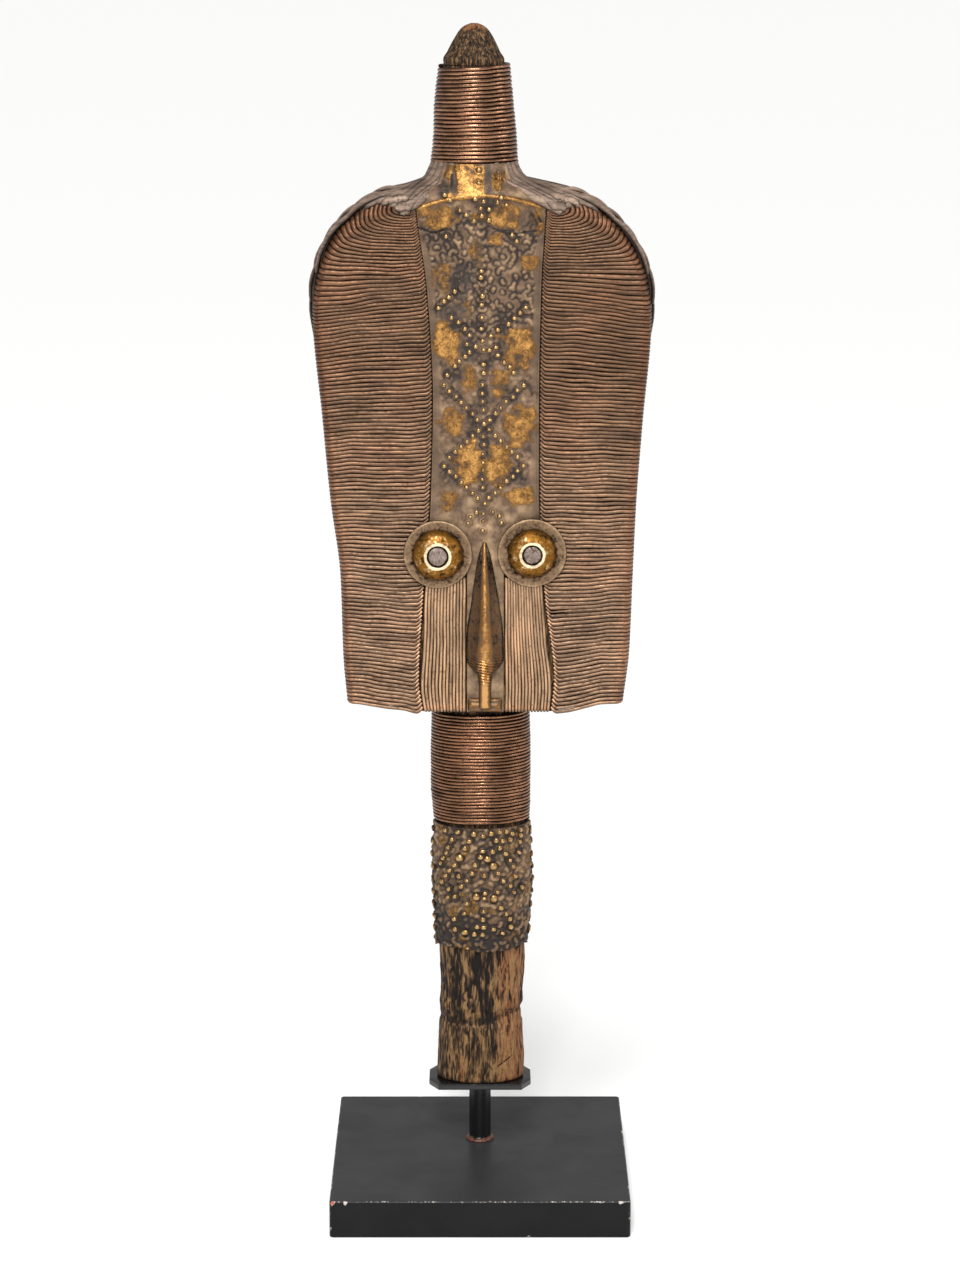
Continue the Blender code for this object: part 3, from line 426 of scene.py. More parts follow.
@dataclass
class Guides:
    """Lines or loose points that a Geometry Nodes tree makes wires or studs on."""

    points: list = field(default_factory=list)
    edges: list = field(default_factory=list)
    outs: list = field(default_factory=list)
    numbers: dict = field(default_factory=lambda: {"girth": [], "loose": [], "tint": [], "rim": []})

    def add_line(self, points: Sequence[Vector], outs: Sequence[Vector], tint: float, girth: Sequence[float],
            loose: Sequence[float], rim: Sequence[float]) -> None:
        """Add one wire's centre line.

        Args:
            points: the line's points.
            outs: outward direction at each point.
            tint: the wire's own number from 0 to 1.
            girth: thickness at each point as a share of the tree's wire radius.
            loose: how far each point may stray, from 0 to 1.
            rim: patina at each point, from 0 on the face to 1 on the edge; near 0.45 at a bend, and below 0
                at a wire's end, it gives a painted highlight.
        """
        first = len(self.points)
        self.points.extend(points)
        self.outs.extend(outs)
        self.edges.extend((first + i, first + i + 1) for i in range(len(points) - 1))
        self.numbers["girth"].extend(girth)
        self.numbers["loose"].extend(loose)
        self.numbers["tint"].extend([tint] * len(points))
        self.numbers["rim"].extend(rim)

    def add_point(self, point: Vector, out: Vector, size: float, tint: float) -> None:
        """Add one stud's place."""
        self.add_line([point], [out], tint, [size], [0.0], [0.0])

    def sweep(self, name: str, tree: NodeTree, values: dict) -> Object:
        """Run a tree on the guides and keep what it makes as a plain mesh.

        Args:
            name: the piece's name.
            tree: the Geometry Nodes tree.
            values: the tree's inputs by name.

        Returns:
            The finished object, with no modifier.
        """
        mesh = bpy.data.meshes.new(f"{name}_guides")
        mesh.from_pydata([tuple(point) for point in self.points], self.edges, [])
        out = mesh.attributes.new("out", "FLOAT_VECTOR", "POINT")
        out.data.foreach_set("vector", np.asarray([tuple(v) for v in self.outs], dtype=np.float32).ravel())
        for key, numbers in self.numbers.items():
            layer = mesh.attributes.new(key, "FLOAT", "POINT")
            layer.data.foreach_set("value", np.asarray(numbers, dtype=np.float32))
        piece = make_object(name, mesh)
        modifier = piece.modifiers.new("Make", "NODES")
        modifier.node_group = tree
        for item in tree.interface.items_tree:
            if item.name in values:
                modifier[item.identifier] = values[item.name]
        graph = bpy.context.evaluated_depsgraph_get()
        made = bpy.data.meshes.new_from_object(piece.evaluated_get(graph), preserve_all_data_layers=True,
            depsgraph=graph)
        piece.modifiers.clear()
        piece.data = made
        made.name = name
        return piece


def start_tree(name: str, sockets: Sequence[tuple[str, str, object]]) -> tuple:
    """Make an empty Geometry Nodes tree with named inputs.

    Args:
        name: the tree's name.
        sockets: name, socket type and default of each input after the geometry.

    Returns:
        The tree, its input node and its output node.
    """
    tree = bpy.data.node_groups.new(name, "GeometryNodeTree")
    tree.interface.new_socket(name="Geometry", in_out="INPUT", socket_type="NodeSocketGeometry")
    tree.interface.new_socket(name="Geometry", in_out="OUTPUT", socket_type="NodeSocketGeometry")
    for label, kind, default in sockets:
        socket = tree.interface.new_socket(name=label, in_out="INPUT", socket_type=kind)
        if default is not None:
            socket.default_value = default
    return tree, tree.nodes.new("NodeGroupInput"), tree.nodes.new("NodeGroupOutput")


def wire_tree() -> NodeTree:
    """Tree that sweeps a hand-laid wire along each guide line.

    It lets the lines stray a little by seeded noise, sweeps a circle along them, presses each wire flat
    towards what it lies on, and stores how high every point stands on its wire as crown.

    Returns:
        The tree.
    """
    tree, given, result = start_tree("hand_laid_wire", (("Wire Radius", "NodeSocketFloat", 0.0009),
        ("Flatness", "NodeSocketFloat", 1.0), ("Sides", "NodeSocketInt", 8), ("Sway", "NodeSocketFloat", 0.0005),
        ("Sway Length", "NodeSocketFloat", 0.02), ("Wobble", "NodeSocketFloat", 0.0001),
        ("Seed", "NodeSocketInt", 1), ("Material", "NodeSocketMaterial", None)))
    node, wants = partial(add_node, tree), given.outputs
    place = node("GeometryNodeInputPosition")
    out = node(NAMED, {"Name": "out"}, data_type="FLOAT_VECTOR")
    loose, tint, girth = (node(NAMED, {"Name": name}, data_type="FLOAT") for name in ("loose", "tint", "girth"))
    scale = node(MATH, {0: 1.0, 1: wants["Sway Length"]}, operation="DIVIDE")
    together = node(NOISE, {"Vector": place, "W": wants["Seed"], "Scale": scale, "Detail": 1.0}, out="Color",
        noise_dimensions="4D")
    own_seed = node(MATH, {0: tint, 1: 40.0, 2: wants["Seed"]}, operation="MULTIPLY_ADD")
    own_scale = node(MATH, {0: scale, 1: 2.5}, operation="MULTIPLY")
    alone = node(NOISE, {"Vector": place, "W": own_seed, "Scale": own_scale, "Detail": 1.0}, out="Color",
        noise_dimensions="4D")
    stray = []
    for source, amount in ((together, wants["Sway"]), (alone, wants["Wobble"])):
        centred = node(VECTOR_MATH, {0: source, 1: (0.5, 0.5, 0.5)}, operation="SUBTRACT")
        twice = node(MATH, {0: amount, 1: 4.0}, operation="MULTIPLY")
        stray.append(node(VECTOR_MATH, {0: centred, "Scale": twice}, operation="SCALE"))
    both = node(VECTOR_MATH, {0: stray[0], 1: stray[1]}, operation="ADD")
    lifted = node(VECTOR_MATH, {0: both, 1: out}, operation="DOT_PRODUCT", out="Value")
    held = node(MATH, {0: lifted, 1: -0.85}, operation="MULTIPLY")
    back = node(VECTOR_MATH, {0: out, "Scale": held}, operation="SCALE")
    along = node(VECTOR_MATH, {0: both, 1: back}, operation="ADD")
    offset = node(VECTOR_MATH, {0: along, "Scale": loose}, operation="SCALE")
    moved = node("GeometryNodeSetPosition", {"Geometry": wants["Geometry"], "Offset": offset})
    centred = node(STORE, {"Geometry": moved, "Name": "centre", "Value": place}, data_type="FLOAT_VECTOR",
        domain="POINT")
    lines = node("GeometryNodeMeshToCurve", {"Mesh": centred})
    round_section = node("GeometryNodeCurvePrimitiveCircle", {"Resolution": wants["Sides"],
        "Radius": wants["Wire Radius"]}, mode="RADIUS")
    swept = node("GeometryNodeCurveToMesh", {"Curve": lines, "Profile Curve": round_section, "Scale": girth,
        "Fill Caps": True})
    centre = node(NAMED, {"Name": "centre"}, data_type="FLOAT_VECTOR")
    reach = node(VECTOR_MATH, {0: place, 1: centre}, operation="SUBTRACT")
    height = node(VECTOR_MATH, {0: reach, 1: out}, operation="DOT_PRODUCT", out="Value")
    full = node(MATH, {0: girth, 1: wants["Wire Radius"]}, operation="MULTIPLY")
    share_up = node(MATH, {0: height, 1: full}, operation="DIVIDE", use_clamp=True)
    slower = node(MATH, {0: 1.0, 1: girth}, operation="DIVIDE")
    crown = node(MATH, {0: share_up, 1: slower}, operation="POWER")
    marked = node(STORE, {"Geometry": swept, "Name": "crown", "Value": crown}, data_type="FLOAT", domain="POINT")
    thin = node(MATH, {0: wants["Flatness"], 1: girth}, operation="DIVIDE")
    press = node(MATH, {0: thin, 1: 1.0}, operation="SUBTRACT")
    share = node(MATH, {0: press, 1: height}, operation="MULTIPLY")
    inward = node(VECTOR_MATH, {0: out, "Scale": share}, operation="SCALE")
    pressed = node("GeometryNodeSetPosition", {"Geometry": marked, "Offset": inward})
    smooth = node("GeometryNodeSetShadeSmooth", {"Geometry": pressed})
    real = node("GeometryNodeRealizeInstances", {"Geometry": smooth})
    dressed = node("GeometryNodeSetMaterial", {"Geometry": real, "Material": wants["Material"]})
    plug(result, {0: dressed})
    return tree


def stud_tree() -> NodeTree:
    """Tree that sets a low domed stud on each guide point, turned outwards and sized by girth.

    Returns:
        The tree.
    """
    tree, given, result = start_tree("domed_stud", (("Stud Radius", "NodeSocketFloat", 0.00135),
        ("Stud Height", "NodeSocketFloat", 0.0009), ("Unevenness", "NodeSocketFloat", 0.15),
        ("Sides", "NodeSocketInt", 12), ("Seed", "NodeSocketInt", 1), ("Material", "NodeSocketMaterial", None)))
    node, wants = partial(add_node, tree), given.outputs
    out = node(NAMED, {"Name": "out"}, data_type="FLOAT_VECTOR")
    girth = node(NAMED, {"Name": "girth"}, data_type="FLOAT")
    place = node("GeometryNodeInputPosition")
    ball = node("GeometryNodeMeshUVSphere", {"Segments": wants["Sides"], "Rings": 6, "Radius": 1.0})
    height = node("ShaderNodeSeparateXYZ", {0: place}, out="Z")
    marked = node(STORE, {"Geometry": ball, "Name": "crown", "Value": height}, data_type="FLOAT", domain="POINT")
    turn = node("FunctionNodeAlignRotationToVector", {"Vector": out}, axis="Z")
    low = node(MATH, {0: 1.0, 1: wants["Unevenness"]}, operation="SUBTRACT")
    high = node(MATH, {0: 1.0, 1: wants["Unevenness"]}, operation="ADD")
    lows = node("ShaderNodeCombineXYZ", {0: low, 1: low, 2: low})
    highs = node("ShaderNodeCombineXYZ", {0: high, 1: high, 2: high})
    uneven = node("FunctionNodeRandomValue", {0: lows, 1: highs, "Seed": wants["Seed"]}, data_type="FLOAT_VECTOR")
    size = node("ShaderNodeCombineXYZ", {0: wants["Stud Radius"], 1: wants["Stud Radius"], 2: wants["Stud Height"]})
    shaped = node(VECTOR_MATH, {0: uneven, 1: size}, operation="MULTIPLY")
    scale = node(VECTOR_MATH, {0: shaped, "Scale": girth}, operation="SCALE")
    studs = node("GeometryNodeInstanceOnPoints", {"Points": wants["Geometry"], "Instance": marked, "Rotation": turn,
        "Scale": scale})
    real = node("GeometryNodeRealizeInstances", {"Geometry": studs})
    smooth = node("GeometryNodeSetShadeSmooth", {"Geometry": real})
    dressed = node("GeometryNodeSetMaterial", {"Geometry": smooth, "Material": wants["Material"]})
    plug(result, {0: dressed})
    return tree


# Finishes


def start_material(name: str, metallic: float, *attributes: str) -> tuple:
    """Make a material.

    Args:
        name: the finish's common name.
        metallic: 1 for bare metal and 0 for paint or wood.
        attributes: names of the piece's attributes that the finish reads.

    Returns:
        The material, the function that adds its nodes, its shader, the Object coordinates and the attributes.
    """
    material = bpy.data.materials.new(name)
    material.use_nodes = True
    shader = material.node_tree.nodes["Principled BSDF"]
    plug(shader, {"Metallic": metallic})
    node = partial(add_node, material.node_tree)
    place = node("ShaderNodeTexCoord", out="Object")
    values = [node("ShaderNodeAttribute", out="Fac", attribute_name=attribute) for attribute in attributes]
    return material, node, shader, place, *values


@dataclass(frozen=True)
class DrawnCopperWire:
    """Hand-drawn copper wire, handled for generations.

    Browned copper, coloured by how high each place stands on its wire: the grooves between the wires are
    painted dark, for grime and for the shade that falls there, and the tops a lighter tan, for rubbed wear and
    a painted highlight, so the eye reads each wire as a light line between two dark ones. Noise along each
    wire adds random tone and painted glints, the bend over the rim and the wires' ends get painted highlights,
    and the colour low on the figure is scaled, painting the face panels lighter towards the chin.
    """

    name: str
    groove: str
    flank: str
    body: str
    top: str
    blush_and_bend_highlight: str
    edge: str
    edge_top: str
    patch: float = 0.03
    speck: float = 0.0016
    streak: float = 0.0017
    streak_run: float = 9.0
    upright: bool = False
    # strength of the painted highlight on the bend over the rim
    bend_highlight: float = 0.85
    # colour factor low on the figure: on the face panels painted light, lighter towards the chin; on the neck coil
    # a darker tone
    low_light_and_tone: Triple = (1.0, 1.0, 1.0)
    roughness: float = 0.38
    metallic: float = 0.6

    def make(self) -> Material:
        """Build the material from the wire tree's attributes and noise in real sizes."""
        material, node, shader, place, crown, tint, rim = start_material(self.name, self.metallic, "crown", "tint",
            "rim")
        # colour by crown: the dark groove is grime and painted shade between the wires, the light top rubbed wear
        # and a painted highlight
        tones = node(RAMP, {0: crown}, stops=((0.0, self.groove), (0.34, self.flank), (0.7, self.body),
            (0.98, self.top)))
        # the edge colours follow crown the same way, with painted shade in the grooves
        rims = node(RAMP, {0: crown}, stops=((0.0, self.groove), (0.45, self.edge), (1.0, self.edge_top)))
        patches = node(NOISE, {"Vector": place, "Scale": 1.0 / self.patch, "Detail": 4.0})
        blushes = node(MAP_RANGE, {0: patches, 1: 0.5, 2: 0.68, 4: 0.5})
        # up to rim 0.42, near the bend over the rim, the colour is dodged lighter: a painted highlight, joined
        # below with random pinkish patches
        bend_highlights = node(MAP_RANGE, {0: rim, 1: 0.05, 2: 0.42, 4: self.bend_highlight})
        blush_and_highlight = node(MATH, {0: blushes, 1: bend_highlights}, operation="MAXIMUM")
        blushed_and_highlit = node(MIX, {0: blush_and_highlight, 6: tones, 7: linear(self.blush_and_bend_highlight)}, data_type="RGBA", blend_type="DODGE",
            out=2)
        # noise stretched along each wire scales its brightness: random tone and painted glints along the wire
        run = 1.0 / self.streak_run
        along = (1.0, 0.3, run) if self.upright else (run, 0.3, 1.0)
        drawn = node("ShaderNodeMapping", {"Vector": place, "Scale": along})
        tone_and_glint_streaks = node(NOISE, {"Vector": drawn, "Scale": 1.0 / self.streak, "Detail": 2.0})
        worn = node(MAP_RANGE, {0: tone_and_glint_streaks, 1: 0.32, 2: 0.68, 3: 0.6, 4: 1.45})
        own = node(MAP_RANGE, {0: tint, 1: 0.0, 2: 1.0, 3: 0.78, 4: 1.22})
        dulling = node(MAP_RANGE, {0: patches, 1: 0.3, 2: 0.5, 3: 0.72, 4: 1.0})
        shade = node(MATH, {0: worn, 1: own}, operation="MULTIPLY")
        # a rim below 0 at the wires' ends at the strip brightens them: a painted highlight
        ends = node(MAP_RANGE, {0: rim, 1: -0.1, 2: -0.7, 3: 1.0, 4: 2.1})
        with_end_highlights = node(MATH, {0: shade, 1: ends}, operation="MULTIPLY")
        level = node(MATH, {0: with_end_highlights, 1: dulling}, operation="MULTIPLY")
        varied = node(VECTOR_MATH, {0: blushed_and_highlit, "Scale": level}, operation="SCALE")
        # below z 0.40 to 0.29 the colour is scaled: on the face panels painted light, lighter towards the chin for
        # the light that the lower face catches; on the neck coil a darker tone
        height = node("ShaderNodeSeparateXYZ", {0: place}, out="Z")
        lower = node(MAP_RANGE, {0: height, 1: 0.4, 2: 0.29})
        paler = node(VECTOR_MATH, {0: varied, 1: self.low_light_and_tone}, operation="MULTIPLY")
        rubbed = node(MIX, {0: lower, 6: varied, 7: paler}, data_type="RGBA", out=2)
        edging = node(MAP_RANGE, {0: rim, 1: 0.5, 2: 0.95})
        # the edge colours take the same random tone and painted glints
        streaked = node(VECTOR_MATH, {0: rims, "Scale": shade}, operation="SCALE")
        edged = node(MIX, {0: edging, 6: rubbed, 7: streaked}, data_type="RGBA", out=2)
        grime = node(NOISE, {"Vector": place, "Scale": 1.0 / self.speck, "Detail": 3.0})
        speckled = node(MAP_RANGE, {0: grime, 1: 0.58, 2: 0.72, 4: 0.6})
        final = node(MIX, {0: speckled, 6: edged, 7: linear(self.flank)}, data_type="RGBA", out=2)
        dull = node(MAP_RANGE, {0: grime, 1: 0.3, 2: 0.7, 3: self.roughness - 0.08, 4: self.roughness + 0.2})
        bump = node(BUMP, {"Height": grime, "Strength": 0.35, "Distance": 0.0003})
        plug(shader, {"Base Color": final, "Roughness": dull, "Normal": bump})
        return material


@dataclass(frozen=True)
class HammeredBrassSheet:
    """Thin brass sheet, beaten over wood and left to tarnish.

    A matt grey-brown crust of tarnish and old dirt lies in every low place, and the brass shows gold only
    where hands have rubbed the high places, so colour and shine both follow the relief. The relief is also
    painted darker round the studs and beside the curled ridges, painted shade, and the brass is painted bright
    along the crest's fold, a painted highlight.
    """

    name: str = "beaten_brass_sheet"
    low: str = "#2C2019"
    crust: str = "#6C543E"
    high: str = "#A08464"
    stain: str = "#2E2825"
    brown: str = "#563C22"
    gold: str = "#876034"
    bright: str = "#C29050"
    margin: str = "#5A4737"
    crumb: float = 0.0021
    cloud: float = 0.011
    scratch: float = 0.0019

    def make(self) -> Material:
        """Build the material from relief, brass, stain and margin attributes."""
        material, node, shader, place, relief, brass, stain, margin = start_material(self.name, 0.55, "relief",
            "brass", "stain", "margin")
        crumbs = node(NOISE, {"Vector": place, "Scale": 1.0 / self.crumb, "Detail": 5.0, "Roughness": 0.62,
            "Distortion": 0.6})
        clouds = node(NOISE, {"Vector": place, "Scale": 1.0 / self.cloud, "Detail": 3.0})
        height = node(MATH, {0: crumbs, 1: 0.45, 2: relief}, operation="MULTIPLY_ADD")
        crusted = node(RAMP, {0: height}, stops=((0.34, self.low), (0.66, self.crust), (1.0, self.high)))
        smooth = node(MATH, {0: margin, 1: 0.75}, operation="MULTIPLY")
        edged = node(MIX, {0: smooth, 6: crusted, 7: linear(self.margin)}, data_type="RGBA", out=2)
        wash = node(MAP_RANGE, {0: clouds, 1: 0.35, 2: 0.65, 3: 0.8, 4: 1.15})
        washed = node(VECTOR_MATH, {0: edged, "Scale": wash}, operation="SCALE")
        # the brass attribute carries gold rubbed by hands and a painted highlight along the crest's fold
        rubbed = node(MATH, {0: height, 1: 0.7, 2: brass}, operation="MULTIPLY_ADD")
        shining = node(MAP_RANGE, {0: rubbed, 1: 0.8, 2: 1.3})
        brightness = node(MAP_RANGE, {0: rubbed, 1: 0.9, 2: 2.1})
        golds = node(RAMP, {0: brightness}, stops=((0.0, self.brown), (0.35, self.gold), (1.0, self.bright)))
        scribbles = node(NOISE, {"Vector": place, "Scale": 1.0 / self.scratch, "Detail": 4.0, "Roughness": 0.6,
            "Distortion": 1.8})
        scored = node(MAP_RANGE, {0: scribbles, 1: 0.38, 2: 0.56, 3: 0.42, 4: 1.0})
        aged = node(VECTOR_MATH, {0: golds, "Scale": scored}, operation="SCALE")
        golden = node(MIX, {0: shining, 6: washed, 7: aged}, data_type="RGBA", out=2)
        staining = node(MATH, {0: stain, 1: crumbs}, operation="MULTIPLY")
        stained_by = node(MAP_RANGE, {0: staining, 1: 0.1, 2: 0.6, 4: 0.9})
        stained = node(MIX, {0: stained_by, 6: golden, 7: linear(self.stain)}, data_type="RGBA", out=2)
        dull = node(MAP_RANGE, {0: shining, 1: 0.0, 2: 1.0, 3: 0.58, 4: 0.38})
        bare = node(MAP_RANGE, {0: shining, 1: 0.0, 2: 1.0, 3: 0.35, 4: 0.85})
        bump = node(BUMP, {"Height": crumbs, "Strength": 0.55, "Distance": 0.0006})
        plug(shader, {"Base Color": stained, "Roughness": dull, "Metallic": bare, "Normal": bump})
        return material


@dataclass(frozen=True)
class RubbedBrass:
    """Brass worn bright by hands, with dark tarnish left where they don't reach.

    The attribute shine, or crown on the studs, sets the colour: low is brown and matt, high is a warm light
    gold with a soft mirror sheen. It says how far a place is rubbed, and on the studs, nose, boss, washers and
    pins it also carries painted shade and painted highlights.
    """

    name: str
    dark: str = "#3B2A1C"
    brown: str = "#8A6A30"
    gold: str = "#C2932F"
    pale: str = "#F0D090"
    attribute: str = "shine"
    roughness: float = 0.3
    fleck: float = 0.0012

    def make(self) -> Material:
        """Build the material from the piece's shine attribute and flecks of tarnish."""
        material, node, shader, place = start_material(self.name, 0.9)
        shine = node("ShaderNodeAttribute", attribute_name=self.attribute, out="Fac")
        flecks = node(NOISE, {"Vector": place, "Scale": 1.0 / self.fleck, "Detail": 4.0})
        clouds = node(NOISE, {"Vector": place, "Scale": 0.25 / self.fleck, "Detail": 3.0})
        mixed = node(MATH, {0: flecks, 1: clouds}, operation="ADD")
        shift = node(MAP_RANGE, {0: mixed, 1: 0.7, 2: 1.3, 3: -0.2, 4: 0.2})
        level = node(MATH, {0: shine, 1: shift}, operation="ADD")
        colour = node(RAMP, {0: level}, stops=((0.05, self.dark), (0.28, self.brown), (0.6, self.gold),
            (1.0, self.pale)))
        dull = node(MAP_RANGE, {0: level, 1: 0.1, 2: 0.8, 3: self.roughness + 0.25, 4: self.roughness})
        bump = node(BUMP, {"Height": mixed, "Strength": 0.3, "Distance": 0.0004})
        plug(shader, {"Base Color": colour, "Roughness": dull, "Normal": bump})
        return material


@dataclass(frozen=True)
class CarvedHardwood:
    """Dense tropical hardwood, cut with an adze and darkened by smoke and handling.

    A dry matt surface with fibres along the grain, nearly black in the cracks, grey-brown on the skin and
    tan where it is worn or freshly split.
    """

    name: str = "smoke_darkened_hardwood"
    crack: str = "#100A06"
    skin: str = "#3A2817"
    ridge: str = "#7E603E"
    bare: str = "#85633F"
    warm: str = "#74492B"
    fibre: float = 0.0008
    run: float = 9.0
    gloss: float = 0.22

    def make(self) -> Material:
        """Build the material from relief and bare attributes and fibres stretched up the grain."""
        material, node, shader, place, relief, bare = start_material(self.name, 0.0, "relief", "bare")
        drawn = node("ShaderNodeMapping", {"Vector": place, "Scale": (1.0, 1.0, 1.0 / self.run)})
        fibres = node(NOISE, {"Vector": drawn, "Scale": 1.0 / self.fibre, "Detail": 4.0, "Roughness": 0.6,
            "Distortion": 0.7})
        pores = node(NOISE, {"Vector": place, "Scale": 700.0, "Detail": 3.0})
        height = node(MATH, {0: fibres, 1: relief}, operation="ADD")
        dark = node(RAMP, {0: height}, stops=((0.42, self.crack), (0.54, self.skin), (0.7, self.ridge)))
        light = node(RAMP, {0: height}, stops=((0.36, self.crack), (0.48, self.warm), (0.68, self.bare)))
        uneven = node(MATH, {0: pores, 1: 0.7, 2: -0.35}, operation="MULTIPLY_ADD")
        patchy = node(MATH, {0: bare, 1: uneven}, operation="ADD")
        showing = node(MAP_RANGE, {0: patchy, 1: 0.15, 2: 0.75})
        colour = node(MIX, {0: showing, 6: dark, 7: light}, data_type="RGBA", out=2)
        dull = node(MAP_RANGE, {0: fibres, 1: 0.3, 2: 0.7, 3: 0.82, 4: 0.6})
        both = node(MATH, {0: fibres, 1: pores}, operation="ADD")
        bump = node(BUMP, {"Height": both, "Strength": 0.7, "Distance": 0.0008})
        plug(shader, {"Base Color": colour, "Roughness": dull, "Specular IOR Level": self.gloss, "Normal": bump})
        return material


@dataclass(frozen=True)
class BrushedLacquer:
    """Black satin lacquer brushed over wood.

    It gives a soft grey sheen with faint brush lines and cloudy hand marks, is painted a lighter grey on the
    top for the light that falls there, and shows pale or reddish wood where an edge is knocked.
    """

    name: str = "brushed_satin_lacquer"
    black: str = "#080809"
    cloud: str = "#111112"
    top_light: str = "#2B2B2C"
    chip: str = "#B9AFA6"
    primer: str = "#A0452C"
    brush: float = 0.0012
    gloss: float = 0.18
    roughness: float = 0.36

    def make(self) -> Material:
        """Build the material from wear and primer attributes, brush lines and clouds."""
        material, node, shader, place, wear, primer = start_material(self.name, 0.0, "wear", "primer")
        drawn = node("ShaderNodeMapping", {"Vector": place, "Scale": (0.03, 1.0, 1.0)})
        lines = node(NOISE, {"Vector": drawn, "Scale": 1.0 / self.brush, "Detail": 3.0})
        clouds = node(NOISE, {"Vector": place, "Scale": 45.0, "Detail": 5.0, "Distortion": 0.4})
        base = node(RAMP, {0: clouds}, stops=((0.35, self.black), (0.7, self.cloud)))
        # the top face is painted a lighter grey than the sides: painted light, for the light that falls on the top
        height = node("ShaderNodeSeparateXYZ", {0: place}, out="Z")
        top_lit_share = node(MAP_RANGE, {0: height, 1: 0.0172, 2: 0.0178})
        top_lit = node(MIX, {0: top_lit_share, 6: base, 7: linear(self.top_light)}, data_type="RGBA", out=2)
        grit = node(NOISE, {"Vector": place, "Scale": 900.0, "Detail": 3.0})
        broken = node(MATH, {0: grit, 1: 0.8, 2: wear}, operation="MULTIPLY_ADD")
        chipped = node(MAP_RANGE, {0: broken, 1: 0.8, 2: 0.95})
        under = node(MIX, {0: primer, 6: linear(self.chip), 7: linear(self.primer)}, data_type="RGBA", out=2)
        colour = node(MIX, {0: chipped, 6: top_lit, 7: under}, data_type="RGBA", out=2)
        sheen = node(MAP_RANGE, {0: clouds, 1: 0.3, 2: 0.7, 3: self.roughness - 0.06, 4: self.roughness + 0.1})
        dull = node(MATH, {0: chipped, 1: 0.4, 2: sheen}, operation="MULTIPLY_ADD")
        bump = node(BUMP, {"Height": lines, "Strength": 0.12, "Distance": 0.0002})
        plug(shader, {"Base Color": colour, "Roughness": dull, "Specular IOR Level": self.gloss, "Normal": bump})
        return material


@dataclass(frozen=True)
class PaintedSteel:
    """Mild steel, ground, welded and sprayed gloss black.

    It gives a hard black shine with fine scratches, and a little rust where the weld burnt the paint.
    """

    name: str = "sprayed_black_steel"
    black: str = "#0F0F10"
    scratch: str = "#6E6A66"
    rust: str = "#6B3A22"
    roughness: float = 0.22

    def make(self) -> Material:
        """Build the material from wear and rust attributes and fine scratches."""
        material, node, shader, place, wear, rust = start_material(self.name, 0.0, "wear", "rust")
        drawn = node("ShaderNodeMapping", {"Vector": place, "Scale": (0.06, 0.06, 1.0)})
        marks = node(NOISE, {"Vector": drawn, "Scale": 2600.0, "Detail": 3.0})
        grain = node(NOISE, {"Vector": place, "Scale": 800.0, "Detail": 4.0})
        worn = node(MATH, {0: marks, 1: wear}, operation="ADD")
        showing = node(MAP_RANGE, {0: worn, 1: 0.92, 2: 1.05})
        scratched = node(MIX, {0: showing, 6: linear(self.black), 7: linear(self.scratch)}, data_type="RGBA", out=2)
        rusty = node(MATH, {0: grain, 1: rust}, operation="MULTIPLY")
        rusting = node(MAP_RANGE, {0: rusty, 1: 0.3, 2: 0.55})
        colour = node(MIX, {0: rusting, 6: scratched, 7: linear(self.rust)}, data_type="RGBA", out=2)
        dull = node(MATH, {0: rusting, 1: 0.45, 2: self.roughness}, operation="MULTIPLY_ADD")
        bump = node(BUMP, {"Height": grain, "Strength": 0.08, "Distance": 0.0002})
        plug(shader, {"Base Color": colour, "Roughness": dull, "Normal": bump})
        return material


@dataclass(frozen=True)
class StudioPaper:
    """White background paper, matt and even, so that the floor is only a pale ground for soft shadows."""

    name: str = "white_background_paper"
    white: str = "#FAFAF9"

    def make(self) -> Material:
        """Build the material."""
        material, node, shader, place = start_material(self.name, 0.0)
        fibre = node(NOISE, {"Vector": place, "Scale": 300.0, "Detail": 2.0})
        bump = node(BUMP, {"Height": fibre, "Strength": 0.02, "Distance": 0.0002})
        plug(shader, {"Base Color": linear(self.white), "Roughness": 0.9, "Normal": bump})
        return material


def dress(piece: Object, slot: Slot, *nodes: str, material: Material | None = None) -> None:
    """Let a piece ride on the figure and stand for its CAD nodes, and log it.

    Args:
        piece: the finished object.
        slot: the record's material slot; not used.
        nodes: CAD nodes that the piece stands for.
        material: finish for a mesh that has none yet.
    """
    if material is not None:
        piece.data.materials.clear()
        piece.data.materials.append(material)
    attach(piece, BODY)
    if nodes:
        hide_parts(*nodes)
    count = sum(len(polygon.vertices) - 2 for polygon in piece.data.polygons)
    LOG.info("%s: %d triangles, stands for %s", piece.name, count, ", ".join(nodes) or "nothing")


# Head with its wires, strands and brass strip


